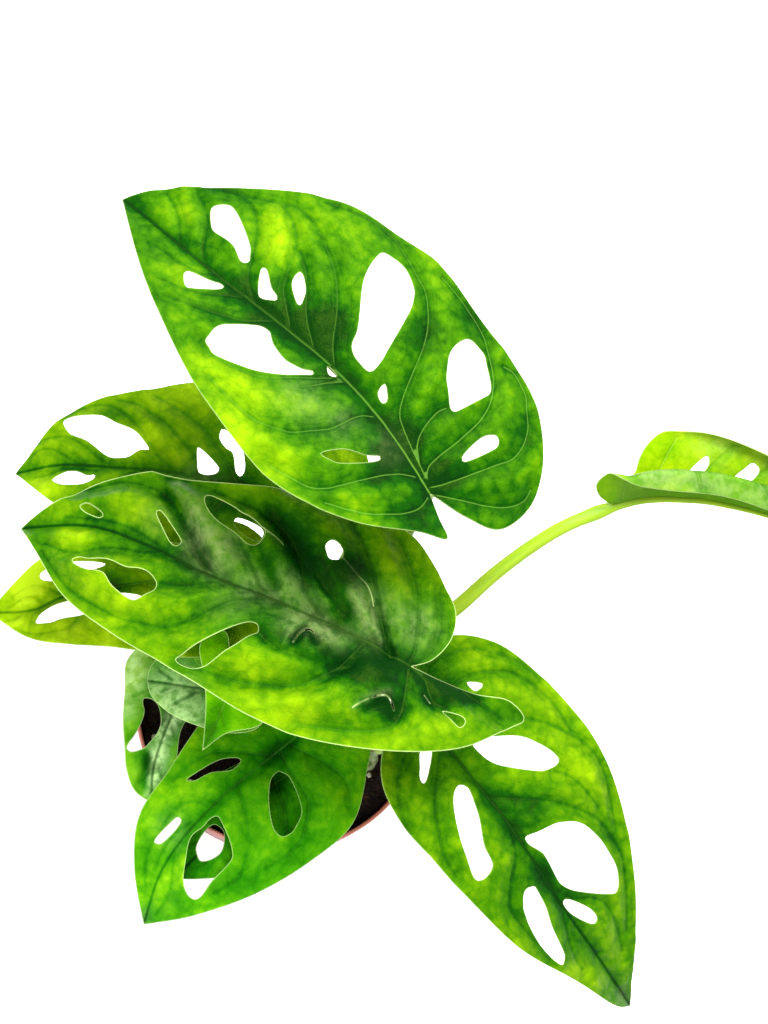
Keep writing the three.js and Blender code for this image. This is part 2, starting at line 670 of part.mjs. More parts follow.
function potBody() {
  const profile = [
    [0, 0], [POT_BASE_RADIUS - 1, 0], [POT_BASE_RADIUS, 1], [57.5, POT_BAND_BOTTOM],
    [59.2, POT_BAND_BOTTOM + 0.6], [POT_RIM_RADIUS, POT_HEIGHT - 1.4], [POT_RIM_RADIUS, POT_HEIGHT - 0.4],
    [59.6, POT_HEIGHT], [58.9, POT_HEIGHT], [58.5, POT_HEIGHT - 0.5], [57.7, POT_BAND_BOTTOM + 1.4],
    [57.5 - POT_WALL, POT_BAND_BOTTOM - 1], [POT_BASE_RADIUS - POT_WALL, POT_FLOOR], [0, POT_FLOOR],
  ];
  let pot = skin(profile.map(([radius, z]) => ring(radius, z, ROUND_SIDES)));
  for (let i = 0; i < DRAIN_HOLES; i += 1) {
    const angle = (2 * Math.PI * (i + 0.5)) / DRAIN_HOLES;
    const centre = new THREE.Vector3(30 * Math.cos(angle), 30 * Math.sin(angle), 0);
    const drill = [[0, -1], [1, -1], [1, POT_FLOOR + 1], [0, POT_FLOOR + 1]];
    pot = pot.subtract(skin(drill.map(([radius, z]) => (
      ring(radius * DRAIN_HOLE_RADIUS, z, 12).map((p) => p.add(centre))
    ))));
  }
  return pot;
}

// ---- scene graph --------------------------------------------------------------------------

const LEAF_GREEN = new THREE.MeshStandardMaterial({ color: 0x4f9a0c, roughness: 0.42, metalness: 0 });
const NEW_LEAF_LIME = new THREE.MeshStandardMaterial({ color: 0xa9d911, roughness: 0.4, metalness: 0 });
const STEM_GREEN = new THREE.MeshStandardMaterial({ color: 0xb9cf86, roughness: 0.55, metalness: 0 });
const DARK_SOIL = new THREE.MeshStandardMaterial({ color: 0x24130e, roughness: 0.95, metalness: 0 });
const POT_RED = new THREE.MeshStandardMaterial({ color: 0x9a3a26, roughness: 0.5, metalness: 0 });

const plant = new THREE.Group();

function addMesh(name, solid, material) {
  const mesh = new THREE.Mesh(toGeometry(solid), material);
  mesh.name = name;
  plant.add(mesh);
  return mesh;
}

for (const [name, leaf] of Object.entries(LEAVES)) {
  const angles = [leaf.roll, -leaf.pitch, leaf.heading].map(THREE.MathUtils.degToRad);
  const turn = new THREE.Euler(...angles, 'ZYX');
  const toPot = new THREE.Matrix4().makeRotationFromEuler(turn).setPosition(...leaf.base);
  const toBlade = toPot.clone().invert();
  const loops = leafLoops(leaf);
  const veins = leafVeins(leaf, loops[0]);
  const stemCut = stemBar(STEMS[leaf.stem], STEM_CLEARANCE).transform(toBlade.toArray());
  const solid = blade(leaf, loops, veins).add(leafStalk(leaf, veins, toBlade)).subtract(stemCut);
  const isYoung = name === 'leaf_new' || name === 'leaf_small_lime';
  const mesh = addMesh(name, solid, isYoung ? NEW_LEAF_LIME : LEAF_GREEN);
  mesh.position.set(...leaf.base);
  mesh.rotation.copy(turn);
}

let soil = soilBody();
for (const [name, stem] of Object.entries(STEMS)) {
  addMesh(name, stemBar(stem, 0), STEM_GREEN);
  soil = soil.subtract(stemBar(stem, GAP));
}
addMesh('soil', soil, DARK_SOIL);
addMesh('pot', potBody(), POT_RED);

export default plant;
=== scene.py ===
import math

import bpy
import numpy as np
from mathutils import Matrix, Vector, geometry, kdtree, noise


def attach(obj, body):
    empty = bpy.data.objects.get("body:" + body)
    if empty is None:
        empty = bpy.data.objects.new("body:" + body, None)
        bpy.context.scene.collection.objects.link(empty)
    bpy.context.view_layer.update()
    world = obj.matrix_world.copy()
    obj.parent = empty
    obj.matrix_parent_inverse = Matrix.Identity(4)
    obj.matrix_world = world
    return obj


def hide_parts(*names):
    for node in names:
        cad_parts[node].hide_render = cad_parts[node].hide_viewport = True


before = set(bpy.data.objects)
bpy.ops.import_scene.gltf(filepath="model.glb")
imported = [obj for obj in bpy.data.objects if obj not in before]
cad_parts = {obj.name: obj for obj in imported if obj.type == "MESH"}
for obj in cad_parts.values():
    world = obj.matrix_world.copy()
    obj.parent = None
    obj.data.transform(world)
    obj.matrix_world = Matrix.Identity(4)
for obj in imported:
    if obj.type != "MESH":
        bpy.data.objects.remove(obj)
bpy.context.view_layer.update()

# A young climbing monstera with holed leaves, growing on two short stems in a nursery pot.
# Lengths in the tables are millimetres; a mesh is turned to metres when it is put in place.


# ---- pot ----------------------------------------------------------------------------------
# A round 12 cm nursery pot, injection moulded in terracotta-red polypropylene.
# One thin tapered wall with a stepped rim band, and a flat floor with six drain holes.

MM = 0.001

# Radius and height along the wall's section: up the outside from the foot, over the rim, down the inside.
POT_PROFILE = [
    (42.4, 2.5), (42.4, 0.0), (43.2, 0.0), (43.8, 0.3), (44.0, 1.0), (50.6, 43.0), (57.5, 86.0),
    (58.4, 86.15), (59.0, 86.4), (59.25, 87.0), (59.6, 93.0), (60.0, 98.6), (60.0, 99.4), (59.75, 99.85),
    (59.25, 100.0), (58.8, 99.85), (58.5, 99.4), (58.1, 93.0), (57.7, 87.4), (57.0, 86.3), (55.9, 85.0),
    (49.1, 43.0), (42.4, 2.5),
]
POT_SIDES = 160
FLOOR_RADIUS = 42.9
FLOOR_THICKNESS = 2.5
DRAIN_HOLE_RADIUS = 4.0
DRAIN_HOLES = [(30 * math.cos(a), 30 * math.sin(a)) for a in np.radians(range(30, 390, 60))]


def linear(hex_colour):
    """An sRGB hex colour as linear RGBA."""
    parts = [int(hex_colour[i:i + 2], 16) / 255 for i in (1, 3, 5)]
    return (*(c / 12.92 if c <= 0.04045 else ((c + 0.055) / 1.055) ** 2.4 for c in parts), 1.0)


def add(tree, kind, inputs=None, stops=None, **settings):
    """Adds a shader node. Inputs go by name or number: a value, a socket, or a node for its first
    output. Stops are the places and colours of a ramp."""
    node = tree.nodes.new("ShaderNode" + kind)
    for key, value in settings.items():
        setattr(node, key, value)
    for key, value in (inputs or {}).items():
        if isinstance(value, bpy.types.Node):
            value = value.outputs[0]
        if isinstance(value, bpy.types.NodeSocket):
            tree.links.new(value, node.inputs[key])
        else:
            node.inputs[key].default_value = value
    if stops:
        ramp = node.color_ramp.elements
        while len(ramp) < len(stops):
            ramp.new(1.0)
        for element, (position, colour) in zip(ramp, stops):
            element.position = position
            element.color = linear(colour)
    return node


def blank_material(name):
    """A material with an empty node tree."""
    material = bpy.data.materials.new(name)
    material.use_nodes = True
    material.node_tree.nodes.clear()
    return material, material.node_tree


def inside(points, loop):
    """Which of the flat points lie inside a closed loop."""
    x, y = points[:, 0, None], points[:, 1, None]
    (ax, ay), (bx, by) = loop.T, np.roll(loop, -1, axis=0).T
    rise = np.where(by == ay, 1e-9, by - ay)
    crossed = ((ay > y) != (by > y)) & (x < (bx - ax) * (y - ay) / rise + ax)
    return crossed.sum(axis=1) % 2 == 1


def within(points, loops):
    """Which of the flat points lie inside the first loop and outside the others."""
    on = inside(points, loops[0])
    for hole in loops[1:]:
        on &= ~inside(points, hole)
    return on


def fill(loops, inner):
    """Triangles inside the first loop and outside the others, through extra inner points."""
    edges = []
    first = 0
    for loop in loops:
        edges += [(first + i, first + (i + 1) % len(loop)) for i in range(len(loop))]
        first += len(loop)
    points = [Vector(p) for p in np.vstack([*loops, *inner])]
    flat = geometry.delaunay_2d_cdt(points, edges, [], 0, 1e-7, False)
    points = np.array([(p.x, p.y) for p in flat[0]])
    triangles = np.array([list(f) for f in flat[2]])
    return points, triangles[within(points[triangles].mean(axis=1), loops)]


def slab(triangles, count):
    """Faces of a closed slab: upper points come first, the same points follow for the lower face."""
    faces = [tuple(t) for t in triangles]
    faces += [(a + count, c + count, b + count) for a, b, c in triangles]
    sides = {(t[i], t[(i + 1) % 3]) for t in triangles.tolist() for i in range(3)}
    faces += [(b, a, a + count, b + count) for a, b in sorted(sides) if (b, a) not in sides]
    return faces


def lathe(profile, sides):
    """Points and faces of a profile of radius and height turned round Z."""
    angles = np.arange(sides) * 2 * math.pi / sides
    points = np.array([(r * math.cos(a), r * math.sin(a), z) for r, z in profile for a in angles])
    faces = []
    for row in range(0, (len(profile) - 1) * sides, sides):
        for k in range(sides):
            n = (k + 1) % sides
            faces.append((row + k, row + n, row + sides + n, row + sides + k))
    return points, faces


def put(name, points, faces, materials, nodes=(), face_material=None, fields=None):
    """Makes one piece from points in millimetres, rides it on the part and hides the solid parts it stands
    for.
    Fields are values, or vectors, at each point for the material to read."""
    mesh = bpy.data.meshes.new(name)
    mesh.from_pydata((np.asarray(points) / 1000).tolist(), [], faces)
    mesh.polygons.foreach_set("use_smooth", np.ones(len(mesh.polygons), bool))
    for material in materials:
        mesh.materials.append(material)
    if face_material is not None:
        mesh.polygons.foreach_set("material_index", np.asarray(face_material, np.int32))
    for field, values in (fields or {}).items():
        values = np.asarray(values, np.float32)
        is_vector = values.ndim == 2
        attribute = mesh.attributes.new(field, "FLOAT_VECTOR" if is_vector else "FLOAT", "POINT")
        attribute.data.foreach_set("vector" if is_vector else "value", values.ravel())
    mesh.update()
    piece = bpy.data.objects.new(name, mesh)
    bpy.context.scene.collection.objects.link(piece)
    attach(piece, "root")
    if nodes:
        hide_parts(*nodes)
    return piece


# Moulded polypropylene, IOR 1.49: satin, slightly mottled by its pigment in 6 mm blotches, with soil
# dust and painted shade on the inner wall and a paler top edge that is a painted highlight.
moulded_polypropylene, tree = blank_material("moulded_polypropylene")
place = add(tree, "TexCoord").outputs["Object"]
height = add(tree, "SeparateXYZ", {"Vector": place}).outputs["Z"]
mottle = add(tree, "TexNoise", {"Vector": place, "Scale": 1 / (6 * MM), "Detail": 4.0, "Roughness": 0.6})
pigment = add(tree, "ValToRGB", {"Fac": mottle}, stops=[(0.3, "#6e1c13"), (0.7, "#7b2518")])

# The middle of the wall: its radius grows with the taper, the step of the rim band and the band's flare.
wall = 0.0
for low, high, narrow, wide in ((1.0, 86.0, 43.2, 56.7), (86.2, 86.8, 0.0, 1.8), (87.0, 99.6, 0.0, 0.7)):
    growth = add(tree, "MapRange", {"Value": height, "From Min": low * MM, "From Max": high * MM,
                                    "To Min": narrow * MM, "To Max": wide * MM})
    wall = add(tree, "Math", {0: wall, 1: growth}, operation="ADD")
level = add(tree, "VectorMath", {0: place, 1: (1, 1, 0)}, operation="MULTIPLY")
radius = add(tree, "VectorMath", {0: level}, operation="LENGTH").outputs["Value"]
is_inner = add(tree, "Math", {0: radius, 1: wall}, operation="LESS_THAN")

crumbs = add(tree, "TexNoise", {"Vector": place, "Scale": 1 / (1.5 * MM), "Detail": 3.0, "Roughness": 0.7})
depth = add(tree, "MapRange", {"Value": height, "From Min": 99 * MM, "From Max": 87 * MM, "To Max": 0.45})
dust = add(tree, "Math", {0: crumbs, 1: depth}, operation="ADD")
dust = add(tree, "MapRange", {"Value": dust, "From Min": 0.68, "From Max": 0.86})
dust = add(tree, "Math", {0: dust, 1: is_inner}, operation="MULTIPLY")
# Painted shade darkens the whole inner wall.
shade = add(tree, "Math", {0: is_inner, 1: 0.35}, operation="MULTIPLY")
# The paler top edge of the rim is a painted highlight.
rim_top_highlight = add(tree, "MapRange", {"Value": height, "From Min": 98.4 * MM, "From Max": 99.8 * MM, "To Max": 0.7})
colour = pigment
for amount, over in ((shade, "#3a0a0a"), (dust, "#1f0d09"), (rim_top_highlight, "#bd7060")):
    colour = add(tree, "MixRGB", {"Fac": amount, "Color1": colour, "Color2": linear(over)})
grain = add(tree, "TexNoise", {"Vector": place, "Scale": 1 / (0.9 * MM), "Detail": 2.0})
relief = add(tree, "Bump", {"Height": grain, "Strength": 0.25, "Distance": 0.1 * MM})
rough = add(tree, "MapRange", {"Value": mottle, "To Min": 0.34, "To Max": 0.46})
shader = add(tree, "BsdfPrincipled", {"Base Color": colour, "Roughness": rough, "IOR": 1.49,
                                      "Normal": relief})
add(tree, "OutputMaterial", {"Surface": shader})


def circle(radius, count):
    """Flat points at even angles on a circle round the origin."""
    return np.array([(radius * math.cos(a), radius * math.sin(a))
                     for a in np.arange(count) * 2 * math.pi / count])


wall_points, wall_faces = lathe(POT_PROFILE, POT_SIDES)
floor_loops = [circle(FLOOR_RADIUS, 120)] + [circle(DRAIN_HOLE_RADIUS, 32) + hole for hole in DRAIN_HOLES]
flat, triangles = fill(floor_loops, [circle(r, 48) for r in (38, 22, 14, 6)])
floor_points = np.vstack([np.c_[flat, np.full(len(flat), FLOOR_THICKNESS)], np.c_[flat, np.zeros(len(flat))]])
floor_faces = [tuple(i + len(wall_points) for i in face) for face in slab(triangles, len(flat))]
pot = put("nursery_pot", np.vstack([wall_points, floor_points]), wall_faces + floor_faces,
          [moulded_polypropylene], ["pot"])
pot.data.set_sharp_from_angle(angle=math.radians(50))


# ---- potting soil -------------------------------------------------------------------------
# Damp peat and coir potting mix, pressed in by hand and filled to a finger's width under the rim.
# One body with a lumpy top. The loose crumbs and perlite on it are separate pieces below.

SOIL_LEVEL = 89
SOIL_TOP_RADIUS = 57.0
SOIL_TOP_RINGS = 72
SOIL_SIDES = 200


def soil_height(x, y):
    """Height of the soil's top, as in the solid part, before its fine lumps."""
    return (SOIL_LEVEL + 0.7 * math.sin(x / 5 + 1) * math.cos(y / 6) + 0.6 * math.sin(x / 3 - y / 4)
            + 0.5 * math.cos(y / 2.6 + x / 9))


# Damp peat: nearly black brown lumps of 2.2 mm with reddish fibres, and no shine except on wet grains.
damp_peat, tree = blank_material("damp_peat")
place = add(tree, "TexCoord").outputs["Object"]
lumps = add(tree, "TexNoise", {"Vector": place, "Scale": 1 / (2.2 * MM), "Detail": 6.0, "Roughness": 0.75})
peat = add(tree, "ValToRGB", {"Fac": lumps},
           stops=[(0.3, "#090304"), (0.5, "#170807"), (0.62, "#2e140e"), (0.78, "#4c2a1c")])
tint = add(tree, "Attribute", attribute_name="tint").outputs["Fac"]
tinted = add(tree, "MixRGB", {"Fac": tint, "Color1": peat, "Color2": linear("#5a3320")})
relief = add(tree, "Bump", {"Height": lumps, "Strength": 0.9, "Distance": 0.7 * MM})
shader = add(tree, "BsdfPrincipled", {"Base Color": tinted, "Roughness": 0.85, "Specular IOR Level": 0.3,
                                      "Normal": relief})
add(tree, "OutputMaterial", {"Surface": shader})

soil_rings = [(r, 0) for r in np.linspace(0.4, SOIL_TOP_RADIUS, SOIL_TOP_RINGS)]
soil_rings += [(57.2, 88.0), (55.6, 85.0), (42.1, 2.8), (0.4, 2.8)]
soil_points, soil_faces = lathe(soil_rings, SOIL_SIDES)
for point in soil_points[:SOIL_TOP_RINGS * SOIL_SIDES]:
    x, y = point[:2]
    lump = noise.fractal(Vector((x / 4, y / 4, 3)), 0.9, 2.0, 4)
    from_wall = min(1.0, max(0.0, (57.5 - math.hypot(x, y)) / 4))
    point[2] = soil_height(x, y) + 0.9 * lump * from_wall - 0.6 * (1 - from_wall)
put("potting_soil", soil_points, soil_faces, [damp_peat], ["soil"],
    fields={"tint": np.zeros(len(soil_points))})


# ---- crumbs and perlite -------------------------------------------------------------------
# Loose crumbs of peat, slivers of bark and white grains of perlite lie on the soil.
# Perlite is expanded volcanic glass, so it is chalk white, light and pitted.

PERLITE_GRAINS = [(-36, -32), (-37, -29), (37, -27), (34, -28), (-49, 3), (20, -45), (-8, -42), (-24, 40),
                  (14, 34), (44, 16), (-52, -14), (30, -2), (12, -20), (-30, 6)]
SMALL_GRAINS = 46
GRAIN_REACH = 54
CRUMBS = 1500
BARK_SLIVERS = 90
CRUMB_REACH = 55.5

# Corners and sides of a ball with twenty sides, which every lump is made from.
golden = (1 + 5 ** 0.5) / 2
CORNERS = np.array([c for a in (-1, 1) for b in (-golden, golden) for c in ((0, a, b), (a, b, 0), (b, 0, a))])
CORNERS = CORNERS / math.hypot(1, golden)
SIDES = []
for i in range(12):
    for j in range(i + 1, 12):
        for k in range(j + 1, 12):
            a, b, c = CORNERS[[i, j, k]]
            if max(np.linalg.norm(a - b), np.linalg.norm(b - c), np.linalg.norm(c - a)) < 1.2:
                SIDES.append((i, j, k) if np.dot(np.cross(b - a, c - a), a) > 0 else (i, k, j))


def lump_mesh(rng, centre, radii, turn):
    """Corners of one irregular lump: a ball whose corners are pushed in and out."""
    shape = CORNERS * rng.uniform(0.72, 1.2, (12, 1)) * np.array(radii)
    c, s = math.cos(turn), math.sin(turn)
    return shape @ np.array([[c, s, 0], [-s, c, 0], [0, 0, 1]]) + np.array(centre)


def anywhere(rng, reach):
    """A random place on the soil, evenly spread within reach of its middle."""
    distance, angle = reach * math.sqrt(rng.uniform()), rng.uniform(0, 2 * math.pi)
    return distance * math.cos(angle), distance * math.sin(angle)


def scatter(name, lumps, material):
    """Joins many lumps into one loose piece that lies on the soil."""
    points, faces, tint = [], [], []
    for shape, shade in lumps:
        first = len(points)
        points += shape.tolist()
        faces += [tuple(first + i for i in side) for side in SIDES]
        tint += [shade] * len(shape)
    return put(name, np.array(points), faces, [material], fields={"tint": tint})


rng = np.random.default_rng(7)
lumps = []
for i in range(CRUMBS + BARK_SLIVERS):
    x, y = anywhere(rng, CRUMB_REACH)
    size = min(2.3, 0.42 * math.exp(rng.normal(0.35, 0.5)))
    radii = (size, size * rng.uniform(0.6, 1), size * 0.7)
    if i >= CRUMBS:
        radii = (rng.uniform(1.5, 4.2), rng.uniform(0.4, 0.9), 0.35)
    shape = lump_mesh(rng, (x, y, soil_height(x, y) + 0.35), radii, rng.uniform(0, 3.14))
    lumps.append((shape, rng.uniform(0, 0.35) if i < CRUMBS else rng.uniform(0.5, 1)))
scatter("peat_crumbs", lumps, damp_peat)

# Perlite: matte white glass foam with 0.6 mm pits, a little stained by the peat.
perlite_foam, tree = blank_material("perlite_foam")
place = add(tree, "TexCoord").outputs["Object"]
pits = add(tree, "TexNoise", {"Vector": place, "Scale": 1 / (0.6 * MM), "Detail": 3.0})
chalk = add(tree, "ValToRGB", {"Fac": pits}, stops=[(0.35, "#b7a68f"), (0.55, "#f4eee2")])
relief = add(tree, "Bump", {"Height": pits, "Strength": 0.6, "Distance": 0.3 * MM})
shader = add(tree, "BsdfPrincipled", {"Base Color": chalk, "Roughness": 0.9, "Normal": relief})
add(tree, "OutputMaterial", {"Surface": shader})

grains = []
for i in range(len(PERLITE_GRAINS) + SMALL_GRAINS):
    if i < len(PERLITE_GRAINS):
        x, y = PERLITE_GRAINS[i]
        size = rng.uniform(1.1, 1.5)
    else:
        x, y = anywhere(rng, GRAIN_REACH)
        size = rng.uniform(0.35, 0.9)
    radii = (size, size * rng.uniform(0.75, 1), size * 0.85)
    shape = lump_mesh(rng, (x, y, soil_height(x, y) + 0.4 + 0.3 * size), radii, rng.uniform(0, 3.14))
    grains.append((shape, 0.0))
scatter("perlite_grains", grains, perlite_foam)


# ---- stems --------------------------------------------------------------------------------
# Two green climbing stems, rooted in the soil, with a ringed node where each petiole leaves.
# Young stem tissue is smooth and fleshy, paler and browner at the ring scars.

STEMS = {
    "stem_right": dict(
        path=[(37, -22, 64), (37, -22, 90), (37, -14, 106), (38, -3, 124), (39, 6, 143)],
        radius=2.9, rings=[94, 100, 108, 122, 134]),
    "stem_left": dict(
        path=[(-2, 8, 64), (-2, 8, 90), (-3, 12, 106), (-2, 19, 124)],
        radius=2.6, rings=[96, 106, 113, 119]),
}
STEM_SIDES = 28


def spaced(points, step, closed=False):
    """Points at an even step along the smooth curve through the given ones."""
    p = np.array(points, float)
    p = np.vstack([p[-1], p, p[:2]]) if closed else np.vstack([2 * p[0] - p[1], p, 2 * p[-1] - p[-2]])
    t = np.linspace(0, 1, 24, endpoint=False)[:, None]
    curve = []
    for a, b, c, d in zip(p, p[1:], p[2:], p[3:]):
        ab, bc, cd = (math.sqrt(np.linalg.norm(v)) for v in (b - a, c - b, d - c))
        leave = ((b - a) / ab - (c - a) / (ab + bc) + (c - b) / bc) * bc
        reach = ((c - b) / bc - (d - b) / (bc + cd) + (d - c) / cd) * bc
        curve.append(b + leave * t + (3 * (c - b) - 2 * leave - reach) * t ** 2
                     + (2 * (b - c) + leave + reach) * t ** 3)
    curve = np.vstack([*curve, p[1] if closed else p[-2]])
    run = np.concatenate([[0], np.cumsum(np.linalg.norm(np.diff(curve, axis=0), axis=1))])
    marks = np.linspace(0, run[-1], max(3, round(run[-1] / step)) + 1)
    even = np.stack([np.interp(marks, run, axis) for axis in curve.T], axis=1)
    return even[:-1] if closed else even


def tube(centres, radii, sides, groove=0.0):
    """A round bar along centres, with a shallow channel along its upper side if groove is given."""
    ahead = np.gradient(centres, axis=0)
    ahead /= np.linalg.norm(ahead, axis=1)[:, None]
    normal = np.cross(ahead[0], (0.3, 1, 0.2))
    rings = []
    for centre, forward, radius in zip(centres, ahead, radii):
        normal = normal - forward * np.dot(normal, forward)
        normal /= np.linalg.norm(normal)
        side = np.cross(forward, normal)
        for a in np.arange(sides) * 2 * math.pi / sides:
            out = math.cos(a) * normal + math.sin(a) * side
            rings.append(centre + out * radius * (1 - groove * max(0.0, out[2]) ** 6))
    points = np.vstack([rings, centres[0], centres[-1] + ahead[-1] * radii[-1] * 0.5])
    first_cap = len(rings)
    last_ring = first_cap - sides
    faces = []
    for row in range(0, last_ring, sides):
        for k in range(sides):
            n = (k + 1) % sides
            faces.append((row + k, row + n, row + sides + n, row + sides + k))
    for k in range(sides):
        n = (k + 1) % sides
        faces.append((first_cap, n, k))
        faces.append((first_cap + 1, last_ring + k, last_ring + n))
    return points, faces


# Green stem tissue: waxy, pale yellow-green with 1.1 mm darker streaks along it and tan ring scars.
# Its green is lightened further by painted light, as the stems stand in the shade of the leaves.
stem_skin, tree = blank_material("stem_skin")
place = add(tree, "TexCoord").outputs["Object"]
long_way = add(tree, "VectorMath", {0: place, 1: (1, 1, 0.12)}, operation="MULTIPLY")
streaks = add(tree, "TexNoise", {"Vector": long_way, "Scale": 1 / (1.1 * MM), "Detail": 3.0})
green = add(tree, "ValToRGB", {"Fac": streaks}, stops=[(0.3, "#a0b878"), (0.52, "#c4d2a2"), (0.7, "#dae2c2")])
scar = add(tree, "Attribute", attribute_name="scar").outputs["Fac"]
scarred = add(tree, "MixRGB", {"Fac": scar, "Color1": green, "Color2": linear("#8c7a45")})
relief = add(tree, "Bump", {"Height": streaks, "Strength": 0.35, "Distance": 0.2 * MM})
shader = add(tree, "BsdfPrincipled", {"Base Color": scarred, "Roughness": 0.45, "Specular IOR Level": 0.4,
                                      "Normal": relief})
add(tree, "OutputMaterial", {"Surface": shader})

for name, stem in STEMS.items():
    centres = spaced(stem["path"], 0.7)
    bulge = sum(np.exp(-((centres[:, 2] - z) / 1.5) ** 2) for z in stem["rings"])
    crease = sum(np.exp(-((centres[:, 2] - z - 0.8) / 0.45) ** 2) for z in stem["rings"])
    taper = 1 - 0.15 * np.linspace(0, 1, len(centres))
    radii = stem["radius"] * taper + 0.5 * np.minimum(1, bulge) - 0.25 * crease
    radii[-4:] *= (0.98, 0.9, 0.74, 0.45)
    points, faces = tube(centres, radii, STEM_SIDES)
    scar = np.append(np.repeat(np.minimum(1, 0.9 * crease), STEM_SIDES), (0, 0))
    put(name + "_green", points, faces, [stem_skin], [name], fields={"scar": scar})
